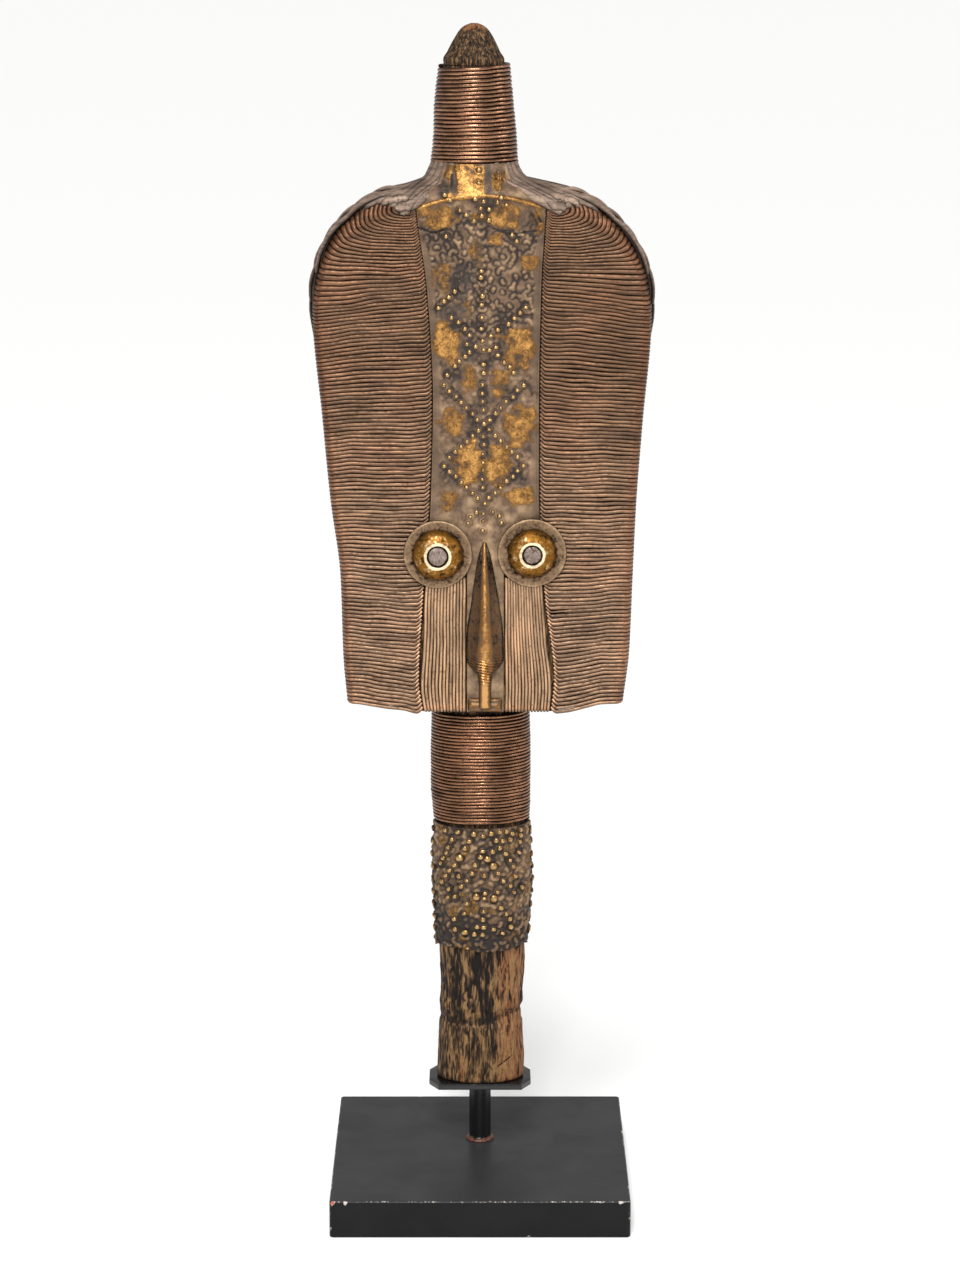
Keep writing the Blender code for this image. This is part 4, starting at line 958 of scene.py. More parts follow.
@dataclass
class WirePanel:
    """Copper wires laid from the brass strip across one half of the face and over its rim."""

    half: HeadHalf
    finish: Material
    tree: NodeTree
    gap_z: float = 0.0
    count: int = 131
    crowded_from: float = 0.42
    crowding: float = 0.6
    radius: float = 0.00096
    flatness: float = 0.86
    hook_rise: float = 0.0021
    hook_run: float = 0.0028
    hook_sink: float = 0.0009
    face_stop: float = 50.0
    side_reach: float = 0.007
    tail_lift: float = 0.9
    corner_run: float = 0.0035
    top_bulge: float = 0.006
    face_points: int = 26
    widest: float = 2.0

    def strip_height(self, index: int) -> float:
        """Height at the strip of one wire; towards the brow they lie closer and closer."""
        low = CHIN_Z + self.radius
        open_run = self.crowded_from - low
        closing = 0.5 * (1.0 - self.crowding)
        tight_run = (BROW_Z - self.crowded_from) / (1.0 - closing)
        at = (open_run + tight_run) * index / (self.count - 1)
        over = max(0.0, at - open_run)
        return low + min(at, open_run) + over * (1.0 - closing * over / tight_run)

    def line(self, index: int) -> tuple[list[Vector], list[Vector], list[float], list[float]]:
        """Centre line of one wire.

        Args:
            index: the wire's number from the chin.

        Returns:
            Points, outward directions, looseness and rim share of each point.
        """
        half = self.half
        sign = half.side.value
        sink = self.radius * self.flatness
        strip_z = self.strip_height(index)
        start = Vector((between(half.strip_edge, strip_z)[0], strip_z))
        rim_at = half.rim_length(strip_z)
        place, slant = half.rim(rim_at)
        rim, normal = Vector(place), Vector(slant)
        inset, depth, back_return = half.rim_shape(slant)
        upward = max(0.0, normal.y)
        tail = Vector((normal.x, normal.y + self.tail_lift * upward)).normalized()
        end = rim - inset * (1.0 - sin(radians(self.face_stop))) * normal
        reach = min(self.side_reach, 0.4 * (end - start).length)
        flat = Vector((start.x + 0.55 * (end.x - start.x), strip_z + 0.4 * (end.y - strip_z)))
        bulge = Vector((self.top_bulge * fade(strip_z, half.fan_start_z + 0.018, BROW_Z), 0.0))
        rise = max(0.0, end.y - strip_z) / max(0.35, tail.y)
        knee = end - rise * tail + bulge
        turned = fade(upward, 0.1, 0.45)
        before = flat.lerp(knee - Vector((self.corner_run, 0.0)), turned)
        after = (end - reach * normal).lerp(knee.lerp(end, 0.12) + 0.4 * bulge, turned)
        hooked = start + Vector((self.hook_run, 0.0))
        points, outs, loose, rims = [], [], [], []
        for part in (0.0, 0.25, 0.5, 0.75):
            x = sign * (start.x + 0.0002 + self.hook_run * part)
            z = strip_z + self.hook_rise * (1.0 - part) ** 2
            points.append(Vector((x, face_y(x, z) + sink + self.hook_sink * (1.0 - part) ** 2, z)))
            outs.append(Vector((0.0, -1.0, 0.0)))
            loose.append(0.0)
            # the first two hook points of the low wires get a rim below 0, which the finish paints as a bright
            # highlight on the wire's end
            rims.append(-0.9 * fade(strip_z, 0.318, 0.3) * (1.0 if part < 0.3 else 0.0))
        for step in range(self.face_points):
            part = step / self.face_points
            rest = 1.0 - part
            flat_point = (rest ** 3 * hooked + 3.0 * rest * rest * part * before + 3.0 * rest * part * part * after
                + part ** 3 * end)
            along = (flat_point - rim).dot(normal)
            angle = asin(min(1.0, max(0.0, 1.0 + along / inset)))
            x, z = sign * flat_point.x, flat_point.y
            lean = Vector((depth * sin(angle), -inset * cos(angle))).normalized()
            out = Vector((sign * lean.x * normal.x, lean.y, lean.x * normal.y))
            surface = Vector((x, face_y(x, z) + depth * (1.0 - cos(angle)), z))
            points.append(surface - sink * out)
            outs.append(out)
            loose.append(fade(part, 0.0, 0.12) * (0.2 + 0.8 * fade(-along, inset, inset + 0.01)))
            # the rim share rises to 0.45 just before the bend, where the finish paints a highlight along the bend
            rims.append(0.45 * fade(along, -inset - 0.005, -0.5 * inset))
        for turn in (self.face_stop, 60.0, 72.0, 84.0, 96.0, 112.0, 130.0, 148.0, 164.0):
            point, out = half.over_rim(rim_at, turn, sink)
            points.append(point)
            outs.append(out)
            loose.append(0.12)
            rims.append(0.45 + 0.55 * fade(turn, self.face_stop, 80.0))
        for share in (0.35, 0.7, 1.0):
            point, _ = half.over_rim(rim_at, 180.0, sink)
            slide = back_return * share - half.back_round * (1.0 - share)
            points.append(point + Vector((-sign * slide * normal.x, 0.0, -slide * normal.y)))
            outs.append(Vector((0.0, 1.0, 0.0)))
            loose.append(0.3)
            rims.append(1.0)
        return points, outs, loose, rims

    def girths(self, paths: Sequence[np.ndarray], index: int) -> np.ndarray:
        """Thickness of one wire at each of its points, so that it fills its share of the room.

        Args:
            paths: the points of every wire.
            index: the wire's number from the chin.

        Returns:
            Shares of the wire's radius.
        """
        gaps = []
        for other in (index - 1, index + 1):
            if not 0 <= other < len(paths):
                continue
            path = paths[other]
            dense = np.concatenate([path[:-1] + (path[1:] - path[:-1]) * step / 6.0 for step in range(6)])
            gaps.append(np.linalg.norm(paths[index][:, None] - dense[None], axis=2).min(axis=1))
        return np.clip(np.mean(gaps, axis=0) / (2.0 * self.radius), 0.66, self.widest)

    def build(self) -> Object:
        """Lay all the wires and sweep them in one mesh."""
        lines = [self.line(index) for index in range(self.count)]
        paths = [np.array([tuple(point) for point in line[0]]) for line in lines]
        guides = Guides()
        for index, (points, outs, loose, rims) in enumerate(lines):
            tint = 0.5 + 0.5 * wave(index * 0.73, self.half.side.value * 5.0, 0.3)
            own = 0.99 + 0.1 * wave(index * 0.41, 9.0, self.half.side.value)
            girth = [own * float(size) for size in self.girths(paths, index)]
            if abs(self.strip_height(index) - self.gap_z) < self.radius:
                girth[:8] = [0.5 * size for size in girth[:8]]
            guides.add_line(points, outs, tint, girth, loose, rims)
        name = f"wires_{self.half.side.name.lower()}"
        return guides.sweep(name, self.tree, {"Wire Radius": self.radius, "Flatness": self.flatness, "Sides": 8,
            "Sway": 0.0011, "Sway Length": 0.024, "Wobble": 0.00016, "Seed": 7 + self.half.side.value,
            "Material": self.finish})

    def dress(self, piece: Object) -> None:
        """Put the panel in its CAD node's place."""
        dress(piece, Slot.WIRE, f"wire_panel_{self.half.side.name.lower()}")


@dataclass
class CheekBand:
    """Upright wires beside the nose, bent under at the chin."""

    side: Side
    stations: Stations
    count: int
    finish: Material
    tree: NodeTree
    round_under: float = 0.003
    steps: int = 16

    def build(self) -> Object:
        """Lay the wires side by side and sweep them."""
        guides = Guides()
        low, high = self.stations[0][0], self.stations[-1][0]
        inner, outer = self.stations[1][1:]
        radius = abs(outer - inner) / self.count / 2.0
        front = Vector((0.0, -1.0, 0.0))
        for index in range(self.count):
            share = (index + 0.5) / self.count
            points, outs = [], []
            for turn in (0.0, 30.0, 60.0):
                angle = radians(turn)
                inner_x, outer_x = self.stations[0][1:]
                x = inner_x + (outer_x - inner_x) * share
                y = face_y(x, low) + radius + self.round_under * (1.0 - sin(angle))
                points.append(Vector((x, y, low + radius + self.round_under * (1.0 - cos(angle)) * 0.5)))
                outs.append(Vector((0.0, -sin(angle), -cos(angle))))
            for step in range(self.steps + 1):
                z = low + radius + self.round_under * 0.6 + (high - low - 0.004) * step / self.steps
                inner_x, outer_x = between(self.stations, z)
                x = inner_x + (outer_x - inner_x) * share
                points.append(Vector((x, face_y(x, z) + radius, z)))
                outs.append(front)
            tint = 0.5 + 0.5 * wave(index * 0.9, 3.0, self.side.value)
            size = len(points)
            loose = [min(1.0, 0.15 * i) for i in range(size)]
            # on the turn under the chin the rim values give the bend's painted highlight where the wire starts to
            # turn, then the darker edge colours on the underside, painted shade
            rims = [0.95, 0.85, 0.72, 0.58] + [0.0] * (size - 4)
            guides.add_line(points, outs, tint, [0.8, 0.88] + [1.0] * (size - 2), loose, rims)
        return guides.sweep(f"cheek_band_{self.side.name.lower()}", self.tree,
            {"Wire Radius": radius * 0.98, "Flatness": 0.9, "Sides": 10, "Sway": 0.0003, "Sway Length": 0.018,
            "Wobble": 0.00008, "Seed": 21 + self.side.value, "Material": self.finish})

    def dress(self, piece: Object) -> None:
        """Put the band in its CAD node's place."""
        dress(piece, Slot.WIRE, f"cheek_wires_{self.side.name.lower()}")


@dataclass
class Coil:
    """One long wire wound round the neck or the finial."""

    name: str
    node: str
    stations: Stations
    low: float
    high: float
    turns: int
    seed: int
    finish: Material
    tree: NodeTree
    slant: float = 0.0
    points_a_turn: int = 56

    def build(self) -> Object:
        """Wind the wire from bottom to top and sweep it."""
        pitch = (self.high - self.low) / self.turns
        radius = pitch / 2.0
        guides = Guides()
        points, outs, girth = [], [], []
        total = self.turns * self.points_a_turn
        for step in range(total - self.points_a_turn // 2):
            angle = 2.0 * pi * step / self.points_a_turn
            level = self.low + radius + (self.high - self.low - 2.0 * radius) * step / total
            part = (level - self.low) / (self.high - self.low)
            z = level + self.slant * part * cos(angle) + 0.00012 * wave(step * 0.05, 0.0, 1.0)
            station = between(self.stations, z)
            out = oval_out(station, angle)
            lift = 0.00022 * wave(step / self.points_a_turn * 1.7, 4.0, self.seed)
            points.append(oval(station, z, angle, -radius) + out * lift)
            outs.append(out)
            girth.append(1.0 + 0.05 * wave(step / self.points_a_turn * 2.3, 7.0, self.seed))
        guides.add_line(points, outs, 0.55, girth, [1.0] * len(points), [0.0] * len(points))
        return guides.sweep(self.name, self.tree, {"Wire Radius": radius * 1.02, "Flatness": 1.0, "Sides": 10,
            "Sway": 0.00022, "Sway Length": 0.016, "Wobble": 0.00003, "Seed": self.seed, "Material": self.finish})

    def dress(self, piece: Object) -> None:
        """Put the coil in its CAD node's place."""
        dress(piece, Slot.WIRE, self.node)


@dataclass
class ShoulderBinding:
    """Flat strands that run along the top of a shoulder and turn up on to the finial's base."""

    half: HeadHalf
    finish: Material
    tree: NodeTree
    strands: tuple[Triple, ...] = ((3.0, 0.005, -60.0), (10.0, 0.007, -51.0), (20.0, 0.01, -42.0),
        (33.0, 0.014, -32.0), (48.0, 0.024, -21.0), (64.0, 0.056, -10.0), (80.0, 0.08, 1.0), (95.0, 0.094, 14.0),
        (112.0, 0.088, 33.0), (129.0, 0.074, 53.0), (146.0, 0.056, 76.0))
    laps: tuple[tuple[float, ...], ...] = ((0.074, 0.02, 84.0, -10.0), (0.062, 0.021, 90.0, -18.0),
        (0.05, 0.02, 86.0, -16.0), (0.039, 0.019, 90.0, -22.0), (0.028, 0.018, 84.0, -16.0),
        (0.018, 0.015, 88.0, -20.0), (0.06, 0.034, 66.0, -8.0), (0.034, 0.028, 62.0, -6.0))
    radius: float = 0.002
    flatness: float = 0.44
    front_turn: float = 55.0
    steps: int = 30

    def build(self) -> Object:
        """Lay the strands over each other and sweep them."""
        half = self.half
        sign = half.side.value
        guides = Guides()
        for index, (turn, start, spread) in enumerate(self.strands):
            points, outs = [], []
            lift = self.radius * self.flatness * (0.4 + 0.5 * (index % 2))
            for step in range(self.steps):
                part = step / (self.steps - 1)
                s = half.length - start + (start - 0.001) * part
                drift = 7.0 * wave(part * 5.0, index * 3.1, sign)
                point, out = half.over_rim(s, turn + drift, 0.0012 - (lift + 0.0012) * fade(part, 0.0, 0.2))
                points.append(point)
                outs.append(out)
            angle = radians(spread) if sign > 0 else pi - radians(spread)
            front = turn < self.front_turn
            foot_z, grow = (0.4845, 0.0012) if front else (0.4828, -0.0006)
            foot = oval(between(FINIAL, foot_z), foot_z, angle, grow)
            outward = oval_out(FINIAL[0][1:], angle)
            corner = foot + 0.0024 * outward
            middle = points[-1].lerp(corner, 0.5)
            for point, most in ((middle, 0.4812), (corner, 0.482)):
                point.z = min(point.z, max(points[-1].z, most))
            points += [middle, corner, foot]
            outs += [(outs[-1] + outward).normalized(), (outward + Vector((0.0, -0.3, 1.0))).normalized(), outward]
            rise = ((0.4872, 0.0006), (0.4904, -0.0006)) if front else ((0.4846, -0.002), (0.487, -0.004))
            for z, grow in rise:
                station = between(FINIAL, z)
                points.append(oval(station, z, angle, grow))
                outs.append(oval_out(station, angle))
            points = self.eased(points)
            outs = [out.normalized() for out in self.eased(outs)]
            size = len(points)
            girth = [(0.3 + 0.75 * fade(i / size, 0.0, 0.25)) * (1.0 + 0.42 * wave(i * 0.42, index, 3.0))
                for i in range(size)]
            tint = 0.5 + 0.5 * wave(index * 1.3, sign * 2.0, 0.7)
            guides.add_line(points, outs, tint, girth, [0.5] * size, [0.8] * size)
        for index, (start, length, turn, rise) in enumerate(self.laps):
            points, outs, girth = [], [], []
            for step in range(13):
                part = step / 12.0
                point, out = half.over_rim(half.length - start + length * part, turn + rise * part,
                    -self.radius * (0.2 + 0.75 * sin(pi * part)))
                points.append(point)
                outs.append(out)
                girth.append(0.25 + 0.95 * sin(pi * min(1.0, 0.04 + part)) ** 0.5)
            guides.add_line(points, outs, 0.35 + 0.4 * (index % 3) / 2.0, girth, [0.4] * 13, [0.8] * 13)
        return guides.sweep(f"shoulder_strands_{half.side.name.lower()}", self.tree,
            {"Wire Radius": self.radius, "Flatness": self.flatness, "Sides": 12, "Sway": 0.0008,
            "Sway Length": 0.01, "Wobble": 0.0006, "Seed": 31 + sign, "Material": self.finish})

    @staticmethod
    def eased(points: Sequence[Vector]) -> list[Vector]:
        """Points averaged with their neighbours, ends kept, so that the turn upwards is soft."""
        middle = [(a + 2.0 * b + c) / 4.0 for a, b, c in zip(points, points[1:], points[2:])]
        return [points[0], *middle, points[-1]]

    def dress(self, piece: Object) -> None:
        """Put the strands in their CAD node's place."""
        dress(piece, Slot.STRANDS, f"shoulder_binding_{self.half.side.name.lower()}")


@dataclass(frozen=True)
class Patch:
    """Rubbed or stained place: middle across and up, half width and half height, strength."""

    x: float
    z: float
    half_width: float
    half_height: float
    strength: float = 1.0

    def at(self, x: float, z: float) -> float:
        """Strength at a place, ragged at the patch's edge."""
        far = hypot((x - self.x) / self.half_width, (z - self.z) / self.half_height)
        if far > 2.1:
            return 0.0
        ruffle = 0.5 * ragged(Vector((x, 0.0, z)), 0.005)
        return self.strength * fade(far + ruffle, 1.55, 0.6)


def curled_ridges(area: tuple[float, ...], gap: float, seed: int, column: float | None = None) -> kdtree.KDTree:
    """Small C-shaped ridges scattered over an area, as a search tree of the points along them.

    Args:
        area: low and high limit across, then up.
        gap: smallest distance between the middles of two ridges.
        seed: seed of the scatter.
        column: place across of a column of upward-open crescents, if there is one.

    Returns:
        Search tree of points with a y of 0.
    """
    source = random.Random(seed)
    left, right, low, high = area
    arcs = []
    if column is not None:
        z = high
        while z > low:
            arcs.append((column + source.uniform(-0.0004, 0.0004), z, 0.0015, -90.0, 74.0))
            z -= source.uniform(0.0034, 0.0044)
    for _ in range(3000):
        x, z = source.uniform(left, right), source.uniform(low, high)
        if all(hypot(x - arc[0], z - arc[1]) > gap for arc in arcs):
            arcs.append((x, z, source.uniform(0.0006, 0.002), source.uniform(0.0, 360.0),
                source.uniform(25.0, 75.0)))
    tree = kdtree.KDTree(9 * len(arcs))
    for index, (x, z, radius, aim, half_span) in enumerate(arcs):
        for step in range(9):
            angle = radians(aim + half_span * (step / 4.0 - 1.0))
            tree.insert((x + radius * cos(angle), 0.0, z + radius * sin(angle)), 9 * index + step)
    tree.balance()
    return tree


@dataclass
class FaceStrip:
    """Studded brass sheet down the middle of the face, with its tab up the finial and tongue at the chin."""

    finish: Material
    stud_finish: Material
    tree: NodeTree
    sink: float = 0.0016
    thickness: float = 0.0012
    lip: float = 0.0006
    clearance: float = 0.0006
    wide_z: float = 0.3052
    tongue_low_z: float = 0.237
    tongue_left: float = -0.006
    tongue_right: float = 0.011
    crest_z: float = 0.4772
    brow_arch: float = 0.0058
    tab_x: float = -0.0022
    tab: Stations = ((0.4792, 0.025, 0.0215, 0.05), (0.483, 0.0222, 0.0168, 0.029), (0.4872, 0.019, 0.015, 0.0225),
        (0.4908, 0.0181, 0.0143, 0.0215))
    columns: int = 124
    row_height: float = 0.0005
    back_points: int = 7
    nodes: tuple[float, ...] = (0.4101, 0.3719, 0.3351)
    lozenge_half_width: float = 0.019
    limb_studs: int = 7
    stud_radius: float = 0.00125
    plain_below: float = 0.3905
    high_studs: tuple[tuple[float, float], ...] = ((-15.8, 477.7), (-13.5, 475.5), (-1.8, 475.9), (1.4, 475.0),
        (9.5, 476.4), (7.7, 474.1), (11.7, 473.2), (0.5, 471.4), (4.1, 471.0), (-9.0, 470.5), (-5.9, 468.3),
        (0.5, 468.3), (-2.7, 466.0), (3.8, 466.0), (-15.4, 458.8), (14.5, 459.3), (16.8, 456.5), (-0.5, 488.5),
        (-0.5, 482.8), (-11.5, 433.4), (-14.3, 430.9), (-16.4, 429.2), (-18.8, 426.2), (-12.7, 421.8),
        (-10.0, 419.3), (-7.1, 416.1), (-4.6, 413.2), (-5.9, 409.2), (-4.7, 405.7), (-6.8, 403.5), (-9.6, 401.2),
        (-11.4, 399.1), (-15.1, 395.0), (0.5, 443.0), (0.5, 440.0), (0.9, 431.1), (0.9, 427.5), (1.0, 421.3),
        (1.0, 416.4), (1.4, 410.6), (1.8, 406.7), (1.8, 400.0), (1.8, 395.9), (20.9, 426.1), (18.2, 423.6),
        (15.5, 421.3), (13.0, 418.8), (8.4, 415.9), (5.1, 413.4), (-1.8, 408.1), (7.3, 407.8), (4.3, 406.2),
        (8.0, 403.9), (11.0, 401.0), (13.5, 398.9), (15.5, 395.9))
    creases: tuple[tuple[float, ...], ...] = ((-0.0285, 0.463, -0.021, 0.46, 0.0006),
        (-0.021, 0.46, -0.015, 0.4622, 0.0007), (0.006, 0.4625, 0.013, 0.4596, 0.0007),
        (0.013, 0.4596, 0.025, 0.4612, 0.0007), (-0.0125, 0.486, -0.0128, 0.4815, 0.0006),
        (0.0062, 0.4845, 0.0105, 0.4838, 0.0006), (0.0235, 0.469, 0.0262, 0.464, 0.0006),
        (0.0255, 0.47, 0.0275, 0.465, 0.0005))
    gold: tuple[Patch, ...] = (Patch(-0.006, 0.4845, 0.01, 0.007, 1.15), Patch(0.0074, 0.4836, 0.0035, 0.004, 1.0),
        Patch(-0.019, 0.4674, 0.0085, 0.0052, 0.85), Patch(0.012, 0.4675, 0.012, 0.0052, 0.85),
        Patch(0.0255, 0.4655, 0.004, 0.006, 0.7), Patch(0.0077, 0.4573, 0.0032, 0.0036, 0.9),
        Patch(0.0222, 0.4466, 0.0041, 0.0038, 0.7), Patch(-0.017, 0.4407, 0.0056, 0.0066, 0.6),
        Patch(0.018, 0.4077, 0.0078, 0.0105, 1.0), Patch(-0.0148, 0.4109, 0.0066, 0.01, 1.1),
        Patch(-0.0059, 0.3946, 0.004, 0.0067, 0.7), Patch(0.0089, 0.3919, 0.004, 0.0076, 0.7),
        Patch(-0.0128, 0.3732, 0.0056, 0.0065, 0.8), Patch(0.0185, 0.3713, 0.0071, 0.0093, 1.0),
        Patch(-0.0057, 0.3537, 0.0062, 0.0093, 1.2), Patch(0.0083, 0.353, 0.0055, 0.0086, 1.15),
        Patch(-0.0142, 0.3365, 0.005, 0.0051, 0.75), Patch(0.0175, 0.3386, 0.0078, 0.004, 0.8),
        Patch(-0.0086, 0.4251, 0.005, 0.005, 0.8), Patch(-0.0014, 0.4509, 0.0032, 0.0063, 0.6))
    dark: tuple[Patch, ...] = (Patch(0.0196, 0.4662, 0.0022, 0.005, 0.55), Patch(-0.0072, 0.44, 0.0055, 0.006, 1.0),
        Patch(-0.013, 0.424, 0.007, 0.004, 0.9), Patch(-0.0055, 0.406, 0.004, 0.006, 0.9),
        Patch(0.0036, 0.484, 0.0014, 0.01, 0.9), Patch(-0.012, 0.4835, 0.0012, 0.0045, 1.0),
        Patch(-0.013, 0.35, 0.003, 0.01, 0.5))
    hollows: tuple[Patch, ...] = (Patch(-0.0072, 0.44, 0.006, 0.006, 0.0009),
        Patch(-0.012, 0.4835, 0.0012, 0.005, 0.0006), Patch(0.0078, 0.4838, 0.001, 0.0035, 0.0008),
        Patch(0.025, 0.3858, 0.0012, 0.0012, 0.0012))

    def edges(self, z: float) -> tuple[float, float]:
        """Signed left and right edge at a height."""
        if z < self.wide_z:
            return self.tongue_left, self.tongue_right
        left = -between(LEFT_HALF.strip_edge, z)[0] + self.clearance
        return left, between(RIGHT_HALF.strip_edge, z)[0] - self.clearance

    def crest_row(self) -> list[Vector]:
        """Row along the arched crest above the brow."""
        left, right = self.edges(BROW_Z)
        row = []
        for column in range(self.columns + 1):
            share = column / self.columns
            x = left + (right - left) * share
            z = self.crest_z - self.brow_arch * abs(2.0 * share - 1.0) ** 2
            row.append(Vector((x, face_y(x, z) + self.sink, z)))
        return row

    def tab_row(self, z: float, depth: float, half_width: float, radius: float) -> list[Vector]:
        """Row across the tab."""
        row = []
        for column in range(self.columns + 1):
            across = half_width * (2.0 * column / self.columns - 1.0)
            y = FIGURE_Y - depth * sqrt(1.0 - (across / radius) ** 2)
            row.append(Vector((self.tab_x + across, y, z)))
        return row

    def front_rows(self) -> list[list[Vector]]:
        """Rows of the unworked outer surface, chin to finial."""
        rows = []
        steps = int((BROW_Z - self.tongue_low_z) / self.row_height)
        for step in range(steps + 1):
            z = self.tongue_low_z + (BROW_Z - self.tongue_low_z) * step / steps
            left, right = self.edges(z)
            xs = [left + (right - left) * column / self.columns for column in range(self.columns + 1)]
            rows.append([Vector((x, face_y(x, z) + self.sink, z)) for x in xs])
        stages = [rows[-1], self.crest_row(), *(self.tab_row(*station) for station in self.tab)]
        for low, high in zip(stages, stages[1:]):
            rise = max((b - a).length for a, b in zip(low, high))
            count = max(2, int(rise / self.row_height))
            for step in range(1, count + 1):
                rows.append([a.lerp(b, step / count) for a, b in zip(low, high)])
        return rows

    def studs(self) -> list[Triple]:
        """Stud places: across, up and size, on the middle line, the crossing lozenges, crest and eye arch."""
        places = [(x / 1000.0, z / 1000.0, 1.05) for x, z in self.high_studs]
        for low, high in zip(self.nodes[1:], self.nodes):
            middle = (high + low) / 2.0
            for side in (-1, 1):
                for start in (low, high):
                    for i in range(self.limb_studs + 1):
                        part = i / (self.limb_studs + 0.3)
                        z = start + (middle - start) * part
                        if z < self.plain_below:
                            places.append((HEAD_X + side * self.lozenge_half_width * part, z, 0.95))
        z = self.plain_below
        while z > self.nodes[-1] - 0.014:
            places.append((HEAD_X - 0.0004, z, 0.85))
            z -= 0.004
        for i in range(7):
            angle = pi * i / 6.0
            places.append((0.0022 + 0.0078 * cos(angle), 0.3262 + 0.0056 * sin(angle), 0.9))
        kept = []
        for x, z, size in places:
            x += 0.0007 * wave(x * 300.0, z * 300.0, 0.0)
            z += 0.0007 * wave(x * 300.0, z * 300.0, 5.0)
            if all(hypot(x - a, z - b) > 0.0026 for a, b, _ in kept):
                kept.append((x, z, size))
        return kept

    def crest_height(self, x: float) -> float:
        """Height of the fold along the brow at a place across."""
        left, right = self.edges(BROW_Z)
        return self.crest_z - self.brow_arch * (2.0 * (x - left) / (right - left) - 1.0) ** 2

    def worked(self, x: float, z: float, edge: float, near: float, curl: float) -> tuple[float, dict[str, float]]:
        """Relief, patina, painted shade and painted highlight of one place on the sheet.

        Args:
            x: across.
            z: up.
            edge: distance to the nearer long edge.
            near: distance to the nearest stud's middle.
            curl: distance to the nearest curled ridge.

        Returns:
            Height above the unworked sheet, and the attributes.
        """
        place = Vector((x, 0.0, z))
        wide = z > self.wide_z + 0.002
        margin = fade(edge + 0.0012 * ragged(place, 0.006, 2), 0.0042, 0.0018) * (1.0 if wide else 0.3)
        margin *= fade(z, 0.462, 0.452)
        gold = max(patch.at(x, z) for patch in self.gold)
        dark = max(patch.at(x, z) for patch in self.dark)
        lumps = ragged(place, 0.007, 3)
        crowded = 0.35 + 0.65 * fade(z, 0.4, 0.425)
        amount = crowded * fade(z, 0.476, 0.469) * (1.0 - margin) * (1.0 - 0.85 * min(1.0, gold))
        amount *= fade(near, 0.001, 0.002)
        ridge = fade(curl, 0.001, 0.0003) * amount
        ditch_shade = fade(curl, 0.0006, 0.0011) * fade(curl, 0.0021, 0.0013) * amount
        crease = self.crease(x, z)
        # the crest's fold is raised in the sheet and painted bright below as a highlight
        fold = exp(-((z - self.crest_height(x)) / 0.0012) ** 2) * fade(edge, 0.0004, 0.002)
        shadow = fade(near, 0.0012, 0.0018) * fade(near, 0.0028, 0.002)
        tear = ragged(place + Vector((0.0, 0.1, 0.0)), 0.0035, 3)
        height = 0.00055 * ridge - 0.0002 * ditch_shade + 0.00032 * lumps * (1.0 - margin) + 0.0002 * gold
        height += 0.0009 * fold - 0.00018 * shadow - 0.0006 * crease
        height -= sum(patch.at(x, z) for patch in self.hollows)
        height += self.lip * fade(edge, 0.0014, 0.0002) * (1.0 if wide else 0.0)
        height += 0.0003 * noise.noise(place / 0.016)
        # relief is painted darker in the ditches beside the curled ridges and in the shadow ring round each stud:
        # painted shade; it is also darker in the creases
        relief = 0.42 + 0.12 * ridge - 0.32 * ditch_shade + 0.3 * lumps - 0.2 * shadow + 0.1 * margin - 0.5 * crease
        relief += 0.14 * tear + 0.12 * fade(z, 0.35, 0.332)
        # brass: gold rubbed by hands, plus a painted highlight along the crest's fold
        rubbed = gold * (1.0 - dark) * (1.15 + 0.5 * lumps + 0.55 * tear) + 1.3 * fold
        return height, {"relief": relief, "brass": rubbed, "stain": dark, "margin": margin}

    def crease(self, x: float, z: float) -> float:
        """Depth share of the long bent creases and slits in the sheet."""
        deepest = 0.0
        for x1, z1, x2, z2, width in self.creases:
            along, place = Vector((x2 - x1, z2 - z1)), Vector((x - x1, z - z1))
            part = min(1.0, max(0.0, place.dot(along) / along.length_squared))
            far = (place - along * part).length + 0.0003 * noise.noise(Vector((x, 0.0, z)) / 0.002)
            deepest = max(deepest, fade(far, width, 0.2 * width))
        return deepest

    def build(self) -> tuple[Object, Object]:
        """Make the worked sheet and its studs."""
        studs = self.studs()
        spots = np.array([(x, z) for x, z, _ in studs])
        curls = curled_ridges((-0.026, 0.028, 0.345, 0.468), 0.0031, 4, HEAD_X - 0.001)
        names = ("relief", "brass", "stain", "margin")
        skin = Skin(names)
        rings, values = [], {name: [] for name in names}
        heights = {}
        for row in self.front_rows():
            width = row[-1].x - row[0].x
            ring, marks = [], {name: [] for name in names}
            for column, point in enumerate(row):
                edge = min(column, self.columns - column) / self.columns * width
                near = float(np.min(np.hypot(spots[:, 0] - point.x, spots[:, 1] - point.z)))
                curl = curls.find((point.x, 0.0, point.z))[2]
                height, mark = self.worked(point.x, point.z, edge, near, curl)
                ring.append(point + Vector((0.0, -height, 0.0)))
                for name in names:
                    marks[name].append(mark[name])
            back = []
            for i in range(self.back_points):
                at = row[round(self.columns * (1.0 - i / (self.back_points - 1)))]
                back.append(at + Vector((0.0, self.thickness, 0.0)))
            rings.append(ring + back)
            for name in names:
                values[name].append(marks[name] + [0.2] * self.back_points)
            heights[round(row[0].z, 6)] = ring
        skin.add_rings(rings, **values)
        sheet = skin.finish("face_sheet", crease=60.0)
        guides = Guides()
        rows = list(heights.values())
        for index, (x, z, size) in enumerate(studs):
            row = min(rows, key=lambda r: abs(r[len(r) // 2].z - z))
            seat = min(row, key=lambda p: abs(p.x - x))
            tint = 0.5 + 0.5 * wave(index * 1.7, 0.0, 2.0)
            guides.add_point(Vector((x, seat.y - 0.0001, z)), Vector((0.0, -1.0, 0.0)), size, tint)
